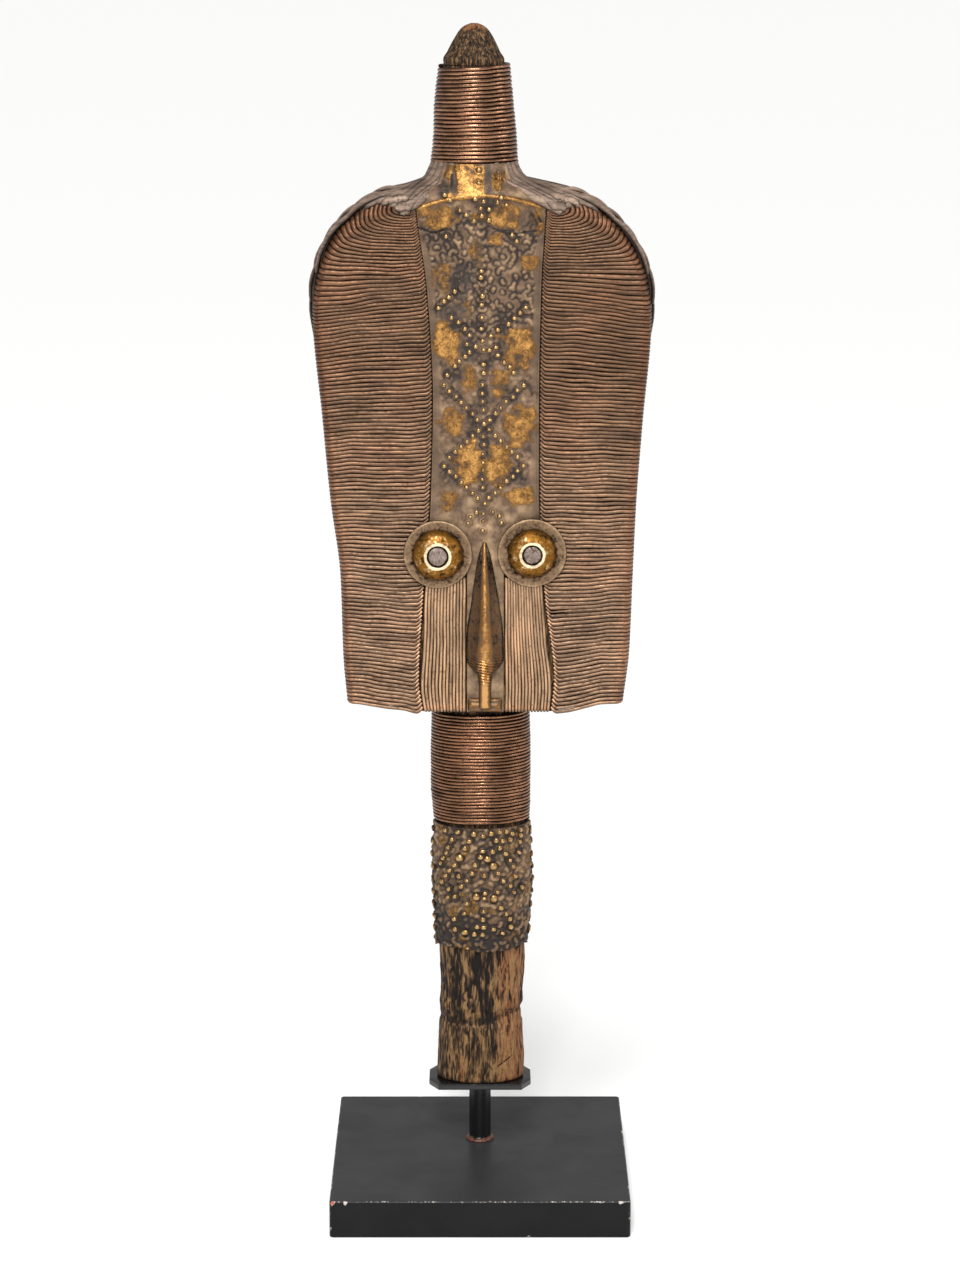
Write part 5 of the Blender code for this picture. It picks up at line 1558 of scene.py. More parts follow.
        domes = guides.sweep("face_studs", self.tree, {"Stud Radius": self.stud_radius, "Stud Height": 0.001,
            "Unevenness": 0.16, "Sides": 12, "Seed": 3, "Material": self.stud_finish})
        return sheet, domes

    def dress(self, sheet: Object, domes: Object) -> None:
        """Put the sheet and studs in their CAD node's place."""
        dress(sheet, Slot.SHEET, "face_strip", material=self.finish)
        dress(domes, Slot.BRIGHT)


@dataclass
class NeckSleeve:
    """Studded brass sheet round the lower neck."""

    finish: Material
    stud_finish: Material
    tree: NodeTree
    thickness: float = 0.0013
    mean_radius: float = 0.02
    rows: int = 104
    sides: int = 240
    inner_rows: int = 3
    front_studs: tuple[tuple[float, float, int], ...] = ((-16.4, 176.6, 1), (-10.5, 176.6, 1), (-2.9, 176.2, 2),
        (1.3, 175.3, 1), (5.2, 176.4, 1), (9.3, 176.9, 1), (12.4, 176.9, 1), (15.2, 175.4, 1), (19.2, 176.6, 1),
        (19.2, 173.8, 1), (-13.1, 172.7, 1), (-5.1, 172.6, 1), (7.6, 173.0, 1), (10.6, 172.5, 1), (14.2, 172.8, 1),
        (18.8, 170.9, 1), (-14.9, 168.7, 1), (-7.1, 169.0, 1), (1.2, 167.9, 1), (6.0, 167.6, 1), (9.3, 169.2, 1),
        (12.1, 166.1, 1), (18.4, 165.8, 1), (-15.8, 165.8, 1), (-17.3, 162.8, 1), (-18.4, 160.1, 1),
        (-9.6, 164.2, 2), (0.3, 165.0, 1), (3.5, 164.1, 2), (-2.3, 161.1, 1), (-12.0, 160.3, 1), (6.3, 160.4, 2),
        (14.1, 162.7, 1), (15.6, 159.3, 1), (-3.7, 156.9, 1), (2.0, 155.9, 1), (8.5, 156.8, 1), (16.7, 154.5, 1),
        (-14.3, 157.4, 1), (-16.0, 154.5, 1), (-17.9, 151.0, 1), (-10.0, 155.1, 1), (-6.1, 153.3, 1),
        (11.0, 152.8, 1), (14.3, 150.0, 1), (19.8, 148.4, 1), (-8.9, 150.1, 1), (8.2, 147.7, 1), (16.0, 146.6, 1),
        (2.3, 147.2, 1), (-14.7, 148.1, 1), (-15.1, 143.8, 1), (-11.8, 144.8, 1), (-1.8, 145.4, 2), (2.0, 144.7, 1),
        (6.5, 144.5, 2), (-6.2, 141.8, 1), (9.9, 139.5, 1), (1.7, 138.1, 1), (12.4, 136.1, 1), (-7.5, 136.8, 1),
        (1.4, 134.0, 1), (-12.1, 133.5, 1), (14.1, 133.5, 1), (-1.4, 130.4, 1), (1.7, 130.1, 1), (6.4, 129.1, 1),
        (14.6, 129.4, 1), (-11.7, 128.4, 1), (-7.1, 127.4, 2), (-2.7, 126.7, 1), (1.2, 126.5, 1), (10.7, 126.8, 1))

    def studs(self) -> list[Triple]:
        """Stud places: angle round the axis, up and size; sparser on the sides."""
        places = []
        for x, z, size in self.front_studs:
            middle, half_width, _ = between(SLEEVE, z / 1000.0)
            across = max(-0.97, min(0.97, (x / 1000.0 - middle) / half_width))
            places.append((-acos(across), z / 1000.0, 1.0 if size == 1 else 1.45))
        low, high = SLEEVE[0][0] + 0.007, SLEEVE[-1][0] - 0.004
        for row in range(9):
            for column in range(4):
                for first in (radians(-8.0), radians(152.0)):
                    angle = first + radians(12.0) * (column + 0.5 * (row % 2))
                    wander = wave(row * 1.3, column * 2.1, first)
                    z = low + (high - low) * row / 8.0 + 0.0012 * wander
                    places.append((angle, z, 1.0))
        return places

    def build(self) -> tuple[Object, Object]:
        """Make the worked sheet and its studs."""
        studs = self.studs()
        names = ("relief", "brass", "stain", "margin")
        low, high = SLEEVE[0][0], SLEEVE[-1][0]
        spots = np.array([tuple(oval(between(SLEEVE, z), z, angle)) for angle, z, _ in studs])
        rings, values = [], {name: [] for name in names}
        curls = curled_ridges((0.0, 2.0 * pi * self.mean_radius, low, high), 0.003, 8)
        for row in range(self.rows + 1):
            ring, marks = [], {name: [] for name in names}
            for column in range(self.sides):
                angle = 2.0 * pi * column / self.sides
                drop = 0.003 * fade(ragged(Vector((cos(angle), sin(angle), 2.0)), 0.35, 3), -0.5, 0.6)
                z = low + drop + (high - low - drop) * row / self.rows
                station = between(SLEEVE, z)
                point = oval(station, z, angle)
                near = float(np.min(np.linalg.norm(spots - np.array(point), axis=1)))
                curl = curls.find((angle * self.mean_radius, 0.0, z))[2]
                amount = fade(near, 0.0012, 0.0022) * (0.75 + 0.25 * fade(z, 0.14, 0.126))
                ridge = fade(curl, 0.0011, 0.0003) * amount
                ditch_shade = fade(curl, 0.0007, 0.0012) * fade(curl, 0.0024, 0.0014) * amount
                lumps = ragged(point, 0.008, 3)
                stud_shade_ring = fade(near, 0.0012, 0.0018) * fade(near, 0.0032, 0.002)
                height = 0.0007 * ridge - 0.0003 * ditch_shade - 0.0003 * stud_shade_ring + 0.0004 * lumps
                ring.append(point + oval_out(station, angle) * height)
                dirt = 0.25 * fade(z, 0.143, 0.124)
                # relief is painted darker in the ditches beside the curled ridges and in the ring round each stud:
                # painted shade
                marks["relief"].append(0.47 - dirt + 0.26 * ridge - 0.28 * ditch_shade + 0.28 * lumps - 0.28 * stud_shade_ring)
                marks["brass"].append(0.75 * fade(lumps, 0.1, 0.5))
                marks["stain"].append(0.6 * fade(lumps, 0.0, -0.6))
                marks["margin"].append(0.0)
            rings.append(ring)
            for name in names:
                values[name].append(marks[name])
        for row in range(self.inner_rows, -1, -1):
            z = low + 0.0006 + (high - low - 0.0006) * row / self.inner_rows
            station = between(SLEEVE, z)
            rings.append([oval(station, z, 2.0 * pi * column / self.sides, -self.thickness)
                for column in range(self.sides)])
            for name in names:
                values[name].append([0.1] * self.sides)
        skin = Skin(names)
        skin.add_rings(rings, loop=True, **values)
        sheet = skin.finish("sleeve_sheet", crease=60.0)
        guides = Guides()
        for index, (angle, z, size) in enumerate(studs):
            station = between(SLEEVE, z)
            tint = 0.5 + 0.5 * wave(index * 1.9, 1.0, 4.0)
            guides.add_point(oval(station, z, angle, 0.0001), oval_out(station, angle), size, tint)
        domes = guides.sweep("sleeve_studs", self.tree, {"Stud Radius": 0.00135, "Stud Height": 0.0009,
            "Unevenness": 0.18, "Sides": 12, "Seed": 5, "Material": self.stud_finish})
        return sheet, domes

    def dress(self, sheet: Object, domes: Object) -> None:
        """Put the sheet and studs in their CAD node's place."""
        dress(sheet, Slot.SHEET, "neck_sleeve", material=self.finish)
        dress(domes, Slot.BRIGHT)


# Nose and eyes


@dataclass
class Nose:
    """Folded brass nose: two side sheets, a rubbed ridge, a rod below it and a small foot."""

    finish: Material
    seat: float = 0.0013
    stations: Stations = ((0.24, 0.0023, 0.003, 0.0027, 0.0048), (0.248, 0.0023, 0.0029, 0.0026, 0.0056),
        (0.255, 0.0023, 0.0036, 0.003, 0.0066), (0.259, 0.0023, 0.0072, 0.0045, 0.0078),
        (0.262, 0.0023, 0.0086, 0.0048, 0.0086), (0.274, 0.0023, 0.0085, 0.0037, 0.0084),
        (0.288, 0.0024, 0.0066, 0.0027, 0.0066), (0.3, 0.0022, 0.0048, 0.0022, 0.0045),
        (0.311, 0.0021, 0.0028, 0.0013, 0.0022), (0.317, 0.0021, 0.0008, 0.0005, 0.0006))
    rows: int = 170
    foot_box: tuple[float, ...] = (-0.0056, 0.0102, 0.2372, 0.2436)
    foot_height: float = 0.0018

    @staticmethod
    def section(sheet: float, ridge: float, height: float) -> list[Triple]:
        """Outline of the nose from left to right: across, rise and shine of each point."""
        row = [(-sheet, 0.0, 0.0), (-sheet, 0.0004, 0.1)]
        flank = ridge + 0.4 * (sheet - ridge)
        base = 0.0006 + 0.32 * height
        for part in (0.33, 0.66, 1.0):
            row.append((-sheet + (sheet - flank) * part, 0.0004 + (base - 0.0004) * part, 0.3))
        row.append((-(flank + ridge) / 2.0 - 0.0001, (base + 0.72 * height) / 2.0, 0.22))
        for degrees in range(-80, 81, 16):
            angle = radians(degrees)
            rise = 0.62 * height + 0.38 * height * cos(angle)
            # shine peaks along the ridge where it faces forward: rubbed brass with a painted highlight
            row.append((ridge * sin(angle), rise, 0.24 + 0.6 * cos(angle) ** 4))
        row += [(-x, rise, shine) for x, rise, shine in reversed(row[:6])]
        return row

    def build(self) -> Object:
        """Loft the nose and its foot."""
        skin = Skin(("shine",))
        low, high = self.stations[0][0], self.stations[-1][0]
        rings, shines = [], []
        for row in range(self.rows + 1):
            z = low + (high - low) * row / self.rows
            middle, sheet, ridge, height = between(self.stations, z)
            back = face_y(middle, z) + self.seat
            twist = fade(z, 0.248, 0.2545) * fade(z, 0.267, 0.26)
            ring, marks = [], []
            for x, rise, shine in self.section(sheet, ridge, height):
                wrinkle = 0.00045 * twist * sin((z * 4600.0) + x * 900.0)
                dent = 0.00012 * noise.noise(Vector((x, rise, z)) / 0.003) * min(1.0, rise / 0.001)
                ring.append(Vector((middle + x, back - rise - (wrinkle + dent) * min(1.0, rise / 0.002), z)))
                tarnish = 0.35 * fade(z, 0.264, 0.272) * ragged(Vector((x, 0.0, z)), 0.006)
                # the rod below the nose is painted brighter: a painted highlight
                rod = 0.62 * fade(z, 0.258, 0.254) * fade(shine, 0.4, 0.8)
                tarnish -= 0.26 * fade(z, 0.29, 0.304)
                # the shine rises and falls with the wrinkles: painted highlight on their raised crests and painted
                # shade in their troughs
                marks.append(shine + rod + shine * tarnish + 0.3 * twist * sin(z * 4600.0 + x * 900.0))
            rings.append(ring)
            shines.append(marks)
        skin.add_rings(rings, shine=shines)
        left, right, bottom, top = self.foot_box
        rings, shines = [], []
        for row in range(19):
            part = row / 18.0
            z = bottom + (top - bottom) * part
            face = face_y(HEAD_X, z) + self.seat - 0.0001
            edge = min(1.0, 6.0 * part, 6.0 * (1.0 - part))
            ring, marks = [], []
            for column in range(25):
                share = column / 24.0
                side = min(1.0, 8.0 * share, 8.0 * (1.0 - share))
                folds = 0.5 + 0.5 * cos(part * 4.0 * pi)
                rise = self.foot_height * sqrt(edge * side) * (0.7 + 0.3 * folds)
                rise += 0.00015 * wave(share * 9.0, part * 5.0, 0.0)
                ring.append(Vector((left + (right - left) * share, face - max(0.0002, rise), z)))
                marks.append(0.34 + 0.6 * folds * abs(wave(share * 7.0, part * 7.0, 3.0)))
            for share in (1.0, 0.5, 0.0):
                ring.append(Vector((left + (right - left) * share, face, z)))
                marks.append(0.0)
            rings.append(ring)
            shines.append(marks)
        skin.add_rings(rings, shine=shines)
        return skin.finish("nose_fold", crease=50.0)

    def dress(self, piece: Object) -> None:
        """Put the nose in its CAD node's place."""
        dress(piece, Slot.BRIGHT, "nose", material=self.finish)


@dataclass
class Eye:
    """Flat washer, domed boss and worn pin of one eye."""

    side: Side
    x: float
    z: float
    washer_radius: float
    boss_radius: float
    pin_radius: float
    washer_finish: Material
    boss_finish: Material
    pin_finish: Material
    washer_thickness: float = 0.0013
    gap: float = 0.0003
    boss_height: float = 0.0062
    boss_start: float = 86.0
    boss_wall: float = 0.0016
    pin_recess: float = 0.0009
    standoff: float = 0.0006
    sides: int = 96

    def turned(self, name: str, profile: Sequence[Triple], dent: float) -> Object:
        """Turn a profile about the eye's axis and lean it with the face.

        Args:
            name: the piece's name.
            profile: radius, height and shine of each point, from the axis on the outside to it below.
            dent: depth of the hammer marks.

        Returns:
            The object.
        """
        slope = (face_y(self.x, self.z + self.washer_radius) - face_y(self.x,
            self.z - self.washer_radius)) / (2.0 * self.washer_radius)
        seat = Vector((self.x, face_y(self.x, self.z) - self.standoff, self.z))
        up = Vector((0.0, slope, 1.0)).normalized()
        out = Vector((0.0, -1.0, slope)).normalized()
        across = Vector((1.0, 0.0, 0.0))
        rings, shines = [], []
        for radius, height, shine in profile:
            ring, marks = [], []
            for i in range(self.sides):
                angle = 2.0 * pi * i / self.sides
                spot = Vector((cos(angle) * radius, sin(angle) * radius, height))
                beaten = dent * noise.noise(spot / 0.0035 + Vector((self.side.value * 7.0, 0.0, 0.0)))
                worn = 0.12 * noise.noise(spot / 0.004 + Vector((0.0, 5.0, 0.0)))
                speck = dent * 1400.0 * fade(ragged(spot + Vector((0.0, 0.0, self.x)), 0.0022, 2), 0.25, 0.5)
                lift = height + beaten * min(1.0, height / 0.001)
                ring.append(seat + across * spot.x + up * spot.y + out * lift)
                marks.append(shine + worn - speck * fade(shine, 0.95, 0.6))
            rings.append(ring)
            shines.append(marks)
        skin = Skin(("shine",))
        skin.add_rings(rings, shine=shines)
        return skin.finish(name, crease=50.0)

    def build(self) -> tuple[Object, ...]:
        """Make washer, boss and pin."""
        label = self.side.name.lower()
        hole = 0.6 * self.boss_radius
        rim = self.washer_radius
        thick = self.washer_thickness
        # the washer is painted dark at the boss's foot and along its outer edge: painted shade in the gaps round
        # the boss and under the washer's edge
        washer = [(hole, 0.0, 0.3), (hole, thick, 0.3), (self.boss_radius, thick, 0.12),
            (self.boss_radius + 0.0008, thick, 0.25), (rim - 0.0014, thick - 0.0001, 0.36),
            (rim - 0.0008, thick, 0.5), (rim - 0.0004, thick - 0.0001, 0.62), (rim, thick - 0.0004, 0.02),
            (rim, 0.0, 0.1), (hole, 0.0, 0.3)]
        low = thick + self.gap
        top = low + self.boss_height
        bore = self.pin_radius + self.gap
        seat = top - self.pin_recess - self.boss_wall
        # the boss is palest on the lip round the bore, polished brass with a painted ring of highlight, darkens to
        # patina towards its outer edge, and is painted dark down inside the bore, painted shade
        boss = [(0.0001, seat, 0.1), (bore, seat, 0.1), (bore, top - 0.0002, 0.95)]
        span = self.boss_radius - bore - 0.0006
        for i in range(19):
            part = i / 18.0
            angle = radians(self.boss_start) * (1.0 - part)
            shine = 1.0 - 0.46 * fade(part, 0.0, 0.05) - 0.45 * fade(part, 0.55, 1.0)
            boss.append((bore + 0.0006 + span * cos(angle), low + self.boss_height * sin(angle), shine))
        boss.append((0.0001, low, 0.1))
        tip = top - self.pin_recess
        # the pin's edge is painted dark: painted shade in the gap round it
        pin = [(0.0001, tip + 0.0003, 0.55), (self.pin_radius * 0.5, tip + 0.00027, 0.5),
            (self.pin_radius * 0.84, tip + 0.0002, 0.48), (self.pin_radius * 0.9, tip, 0.05),
            (self.pin_radius, tip - 0.0003, 0.1), (self.pin_radius, seat + self.gap, 0.0),
            (0.0001, seat + self.gap, 0.0)]
        return (self.turned(f"washer_{label}", washer, 0.0), self.turned(f"boss_{label}", boss, 0.00028),
            self.turned(f"pin_{label}", pin, 0.00012))

    def dress(self, washer: Object, boss: Object, pin: Object) -> None:
        """Put the three pieces in their CAD nodes' places."""
        label = self.side.name.lower()
        dress(washer, Slot.WASHER, f"eye_washer_{label}", material=self.washer_finish)
        dress(boss, Slot.BRIGHT, f"eye_boss_{label}", material=self.boss_finish)
        dress(pin, Slot.PIN, f"eye_pin_{label}", material=self.pin_finish)


# Wood and stand


@dataclass
class CarvedCore:
    """The carved wood: worn foot and tip, and the head board with its spine behind the metal."""

    finish: Material
    board_low: float = 0.119
    board_high: float = 0.535
    voxel: float = 0.0015
    sides: int = 220
    row_height: float = 0.0006

    def board(self) -> Mesh:
        """Head board and spine from a copy of the CAD core, remeshed finely enough to carve."""
        bm = bmesh.new()
        bm.from_mesh(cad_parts["wood_core"].data)
        bmesh.ops.remove_doubles(bm, verts=bm.verts, dist=0.000002)
        for height, outer in ((self.board_low, False), (self.board_high, True)):
            geometry = [*bm.verts, *bm.edges, *bm.faces]
            cut = bmesh.ops.bisect_plane(bm, geom=geometry, plane_co=(0.0, 0.0, height), plane_no=(0.0, 0.0, 1.0),
                clear_outer=outer, clear_inner=not outer)
            rim = [item for item in cut["geom_cut"] if isinstance(item, bmesh.types.BMEdge)]
            bmesh.ops.contextual_create(bm, geom=rim)
        bmesh.ops.triangulate(bm, faces=bm.faces)
        mesh = bpy.data.meshes.new("board")
        bm.to_mesh(mesh)
        bm.free()
        board = make_object("board", mesh)
        remesh = board.modifiers.new("Fine", "REMESH")
        remesh.mode = "VOXEL"
        remesh.voxel_size = self.voxel
        graph = bpy.context.evaluated_depsgraph_get()
        fine = bpy.data.meshes.new_from_object(board.evaluated_get(graph), depsgraph=graph)
        bpy.data.objects.remove(board, do_unlink=True)
        return fine

    def round_length(self, skin: Skin, stations: Stations, carve: Callable) -> None:
        """Loft one round length with its carving.

        Args:
            skin: skin that gets the rings.
            stations: the length's stations.
            carve: function of a point that gives depth cut, relief and bare share.
        """
        low, high = stations[0][0], stations[-1][0]
        count = int((high - low) / self.row_height)
        rings, reliefs, bares = [], [], []
        for row in range(count + 1):
            z = low + (high - low) * row / count
            station = between(stations, z)
            ring, relief_row, bare_row = [], [], []
            for column in range(self.sides):
                angle = 2.0 * pi * column / self.sides
                point = oval(station, z, angle)
                depth, relief, bare = carve(point)
                ring.append(point - oval_out(station, angle) * depth)
                relief_row.append(relief)
                bare_row.append(bare)
            rings.append(ring)
            reliefs.append(relief_row)
            bares.append(bare_row)
        skin.add_rings(rings, relief=reliefs, bare=bares)

    @staticmethod
    def carve_foot(point: Vector) -> Triple:
        """Depth, relief and bareness of a place on the foot: fibres, adze facets, worn right flank."""
        weave = 0.0016 * noise.noise(point / 0.0055)
        fibre = wave((point.x + weave) / 0.0013, (point.y + weave) / 0.0013, point.z / 0.009)
        coarse = wave(point.x / 0.0045, point.y / 0.0045, point.z / 0.018)
        facet = wave(point.x / 0.011, point.y / 0.011, point.z / 0.014)
        level = point.z - 0.0045 * fade(point.x, 0.0, 0.018)
        rough = 0.5 + 0.5 * fade(level, 0.081, 0.088)
        depth = 0.0004 + rough * (0.00048 * fibre + 0.00045 * coarse) + 0.0004 * facet
        lower = fade(point.z, 0.052, 0.0508) * 0.0006
        bare = fade(point.x, 0.0045, 0.0125) * fade(point.y, 0.02, 0.006)
        bare = max(bare * (0.75 + 0.4 * coarse), 0.0)
        splinter = fade(abs(point.x + 0.0087), 0.0013, 0.0006) * fade(point.z, 0.0505, 0.0515)
        splinter *= fade(point.z, 0.0665, 0.064) * fade(point.y, 0.006, 0.0)
        depth -= 0.0005 * splinter
        bare = max(bare, splinter)
        crack_line = 0.01 + (point.z - 0.06) * 1.6
        crack = fade(abs(point.x - crack_line), 0.0006, 0.0001) * fade(abs(point.z - 0.0615), 0.0028, 0.0018)
        crack *= fade(point.y, 0.006, 0.0)
        recess = fade(level, 0.0792, 0.0806) * fade(level, 0.0846, 0.0812)
        depth += 0.0009 * crack + lower + 0.0004 * recess
        relief = rough * (0.34 * fibre - 0.3 * coarse) + 0.09 * (1.0 - rough) - 0.5 * crack - 0.1 * recess
        return max(0.0, depth), relief, bare

    @staticmethod
    def carve_tip(point: Vector) -> Triple:
        """Depth, relief and bareness of a place on the tip: dark and smooth, tan where it is worn."""
        pit = noise.noise(point / 0.0022)
        lump = noise.noise(point / 0.007)
        bare = fade(point.z + 0.0012 * lump, 0.549, 0.5518) * fade(point.y, 0.022, 0.008)
        return max(0.0, 0.0001 + 0.00012 * pit + 0.0002 * lump), 0.12 * pit + 0.02, bare

    def build(self) -> Object:
        """Join board, foot and tip in one mesh."""
        skin = Skin(("relief", "bare"))
        self.round_length(skin, FOOT, self.carve_foot)
        self.round_length(skin, TIP, self.carve_tip)
        fine = self.board()
        first = len(skin.points)
        normals = [vertex.normal.copy() for vertex in fine.vertices]
        for vertex, normal in zip(fine.vertices, normals):
            point = vertex.co
            fibre = wave(point.x / 0.0018, point.y / 0.0018, point.z / 0.022)
            facet = wave(point.x / 0.009, point.y / 0.009, point.z / 0.02)
            depth = max(0.0, 0.00025 + 0.00018 * fibre + 0.00035 * facet)
            skin.points.append(point - normal * depth)
            skin.values["relief"].append(0.22 * fibre)
            skin.values["bare"].append(0.3 * fade(facet, 0.0, 0.6))
        skin.faces.extend(tuple(first + i for i in face.vertices) for face in fine.polygons)
        bpy.data.meshes.remove(fine)
        return skin.finish("carved_core", crease=60.0)

    def dress(self, piece: Object) -> None:
        """Put the wood in its CAD node's place."""
        dress(piece, Slot.WOOD, "wood_core", material=self.finish)


@dataclass(frozen=True)
class Chip:
    """Knock on an edge: place, half length, depth, and whether reddish primer shows."""

    x: float
    y: float
    z: float
    half_length: float
    depth: float
    primer: float = 0.0

    def at(self, point: Vector) -> float:
        """Share of the knock at a place."""
        far = (point - Vector((self.x, self.y, self.z))).length / self.half_length
        return fade(far + 0.35 * ragged(point, 0.002, 2), 1.0, 0.35)


@dataclass
class Stand:
    """Square plinth, round post with its weld, and plate with cut corners."""

    lacquer: Material
    steel: Material
    side: float = 0.14
    height: float = 0.0179
    corner: float = 0.0018
    edge: float = 0.0008
    post_radius: float = 0.00525
    weld_radius: float = 0.0068
    weld_height: float = 0.0012
    plate_top: float = 0.0507
    plate_thickness: float = 0.003
    plate_size: tuple[float, float] = (0.049, 0.029)
    plate_cut: tuple[float, float] = (0.0044, 0.0077)
    gap: float = 0.0003
    ring_points: int = 96
    post_points: int = 72
    chips: tuple[Chip, ...] = (Chip(-0.0684, -0.07, 0.0173, 0.0014, 0.0005, 1.0),
        Chip(-0.0622, -0.07, 0.0172, 0.0013, 0.0004), Chip(0.0649, -0.07, 0.0175, 0.0013, 0.0004),
        Chip(0.0221, -0.07, 0.001, 0.0012, 0.0003), Chip(0.07, -0.07, 0.009, 0.0012, 0.0003),
        Chip(0.07, 0.02, 0.0173, 0.0018, 0.0005), Chip(-0.03, 0.07, 0.0173, 0.0016, 0.0005))

    def outline(self, inset: float) -> list[Vector]:
        """Plan outline of the plinth, points closer at its rounded corners.

        Args:
            inset: distance in from the plinth's side.

        Returns:
            Points at height 0, all with the same count.
        """
        half = self.side / 2.0 - inset
        radius = max(0.0002, self.corner - min(inset, self.corner * 0.6))
        points = []
        for quarter in range(4):
            turn = pi / 2.0 * quarter
            for step in range(9):
                angle = turn + pi / 2.0 * step / 8.0
                middle = half - radius
                corner = Vector((copysign(middle, cos(turn + pi / 4.0)), copysign(middle, sin(turn + pi / 4.0)),
                    0.0))
                points.append(corner + radius * Vector((cos(angle), sin(angle), 0.0)))
            follow = Vector((copysign(half - radius, cos(turn + 3.0 * pi / 4.0)),
                copysign(half - radius, sin(turn + 3.0 * pi / 4.0)), 0.0))
            end = follow + radius * Vector((cos(turn + pi / 2.0), sin(turn + pi / 2.0), 0.0))
            begin = points[-1]
            for step in range(1, self.ring_points):
                points.append(begin.lerp(end, step / self.ring_points))
        return points

    def plinth(self) -> Object:
        """Make the plinth with its rounded, knocked edges."""
        edge = self.edge
        rows = [(0.06, 0.0), (0.03, 0.0), (0.004, 0.0)]
        rows += [(edge * (1.0 - sin(a)), edge * (1.0 - cos(a))) for a in np.radians((0, 30, 60, 90))]
        rows += [(0.0, z) for z in np.linspace(edge * 2.0, self.height - edge * 2.0, 16)]
        rows += [(edge * (1.0 - cos(a)), self.height - edge * (1.0 - sin(a)))
            for a in np.radians((0, 22, 45, 68, 90))]
        rows += [(inset, self.height) for inset in (0.0014, 0.0022, 0.0034, 0.006, 0.012, 0.03, 0.06)]
        rings, wears, primers = [], [], []
        for inset, z in rows:
            ring, wear_row, primer_row = [], [], []
            for flat in self.outline(inset):
                point = Vector((flat.x, flat.y, z))
                near_top = fade(inset, 0.0014, 0.0003) * fade(self.height - z, 0.0012, 0.0002)
                corner = fade(abs(abs(flat.x) - abs(flat.y)), 0.0022, 0.0004) * fade(abs(flat.x), 0.066, 0.069)
                worn = 0.4 * near_top + 0.16 * near_top * ragged(point, 0.006)
                worn = max(worn, 0.42 * corner * (0.7 + 0.5 * ragged(point, 0.004)) * fade(inset, 0.002, 0.0))
                primer = 0.0
                for chip in self.chips:
                    share = chip.at(point)
                    worn = max(worn, share)
                    primer = max(primer, share * chip.primer)
                    point = point - Vector((0.0, copysign(chip.depth, flat.y), 0.0)) * share * 0.5
                ring.append(point)
                wear_row.append(worn)
                primer_row.append(primer)
            rings.append(ring)
            wears.append(wear_row)
            primers.append(primer_row)
        skin = Skin(("wear", "primer"))
        skin.add_rings(rings, wear=wears, primer=primers)
        return skin.finish("plinth_block", crease=50.0)

    def post(self) -> Object:
        """Make the post with its weld bead."""
        low = self.height + self.gap
        top = self.plate_top - self.plate_thickness - self.gap
        profile = [(self.weld_radius, low, 0.9)]
        for degrees in (20, 40, 60, 80):
            angle = radians(degrees)
            radius = self.post_radius + (self.weld_radius - self.post_radius) * cos(angle) ** 0.8
            profile.append((radius, low + self.weld_height * sin(angle), 0.9))
        profile.append((self.post_radius, low + self.weld_height + 0.0003, 0.45))
        for z in np.linspace(low + self.weld_height + 0.0012, top, 9):
            profile.append((self.post_radius, float(z), 0.0))
        rings, rusts = [], []
        for radius, z, rust in profile:
            ring = []
            for i in range(self.post_points):
                angle = 2.0 * pi * i / self.post_points
                bead = 0.0003 * wave(cos(angle) * 4.0, sin(angle) * 4.0, 1.0)
                size = radius + bead * (1.0 if self.post_radius < radius < self.weld_radius else 0.0)
                ring.append(Vector((cos(angle) * size, FIGURE_Y + sin(angle) * size, z)))
            rings.append(ring)
            rusts.append([rust] * self.post_points)
        skin = Skin(("wear", "rust"))
        skin.add_rings(rings, rust=rusts)
        return skin.finish("post_rod", crease=50.0)

    def plate(self) -> Object:
        """Make the plate, its edges softened and a little scratched."""
        half_width, half_depth = self.plate_size[0] / 2.0, self.plate_size[1] / 2.0
        straight, side = half_width - self.plate_cut[0], half_depth - self.plate_cut[1]
        corners = ((straight, -half_depth), (half_width, -side), (half_width, side), (straight, half_depth),
            (-straight, half_depth), (-half_width, side), (-half_width, -side), (-straight, -half_depth))
        bottom = self.plate_top - self.plate_thickness
        soft = 0.00035
        rows = [(0.004, bottom), (soft, bottom), (0.0, bottom + soft), (0.0, self.plate_top - soft),
            (soft * 0.3, self.plate_top - soft * 0.3), (soft, self.plate_top), (0.004, self.plate_top)]
        rings, wears = [], []
        for inset, z in rows:
            ring, wear_row = [], []
            for index, corner in enumerate(corners):
                after = corners[(index + 1) % len(corners)]
                for step in range(16):
                    part = step / 16.0
                    x = corner[0] + (after[0] - corner[0]) * part
                    y = corner[1] + (after[1] - corner[1]) * part
                    shrink = 1.0 - inset / half_depth
                    point = Vector((x * (1.0 - inset / half_width), FIGURE_Y + y * shrink, z))
                    ring.append(point)
                    marks = 0.26 if soft * 0.2 < inset < soft * 1.1 else 0.1
                    wear_row.append(marks + 0.3 * ragged(point, 0.006))
            rings.append(ring)
            wears.append(wear_row)
        skin = Skin(("wear", "rust"))
        skin.add_rings(rings, wear=wears)
        return skin.finish("mount_plate", crease=35.0)

    def build(self) -> tuple[Object, ...]:
        """Make plinth, post and plate."""
        return self.plinth(), self.post(), self.plate()

    def dress(self, plinth: Object, post: Object, plate: Object) -> None:
        """Put the stand's pieces in their CAD nodes' places."""
        dress(plinth, Slot.PAINTED_WOOD, "stand_plinth", material=self.lacquer)
        dress(post, Slot.PAINTED_STEEL, "stand_post", material=self.steel)
        dress(plate, Slot.PAINTED_STEEL, "stand_plate", material=self.steel)


# Studio


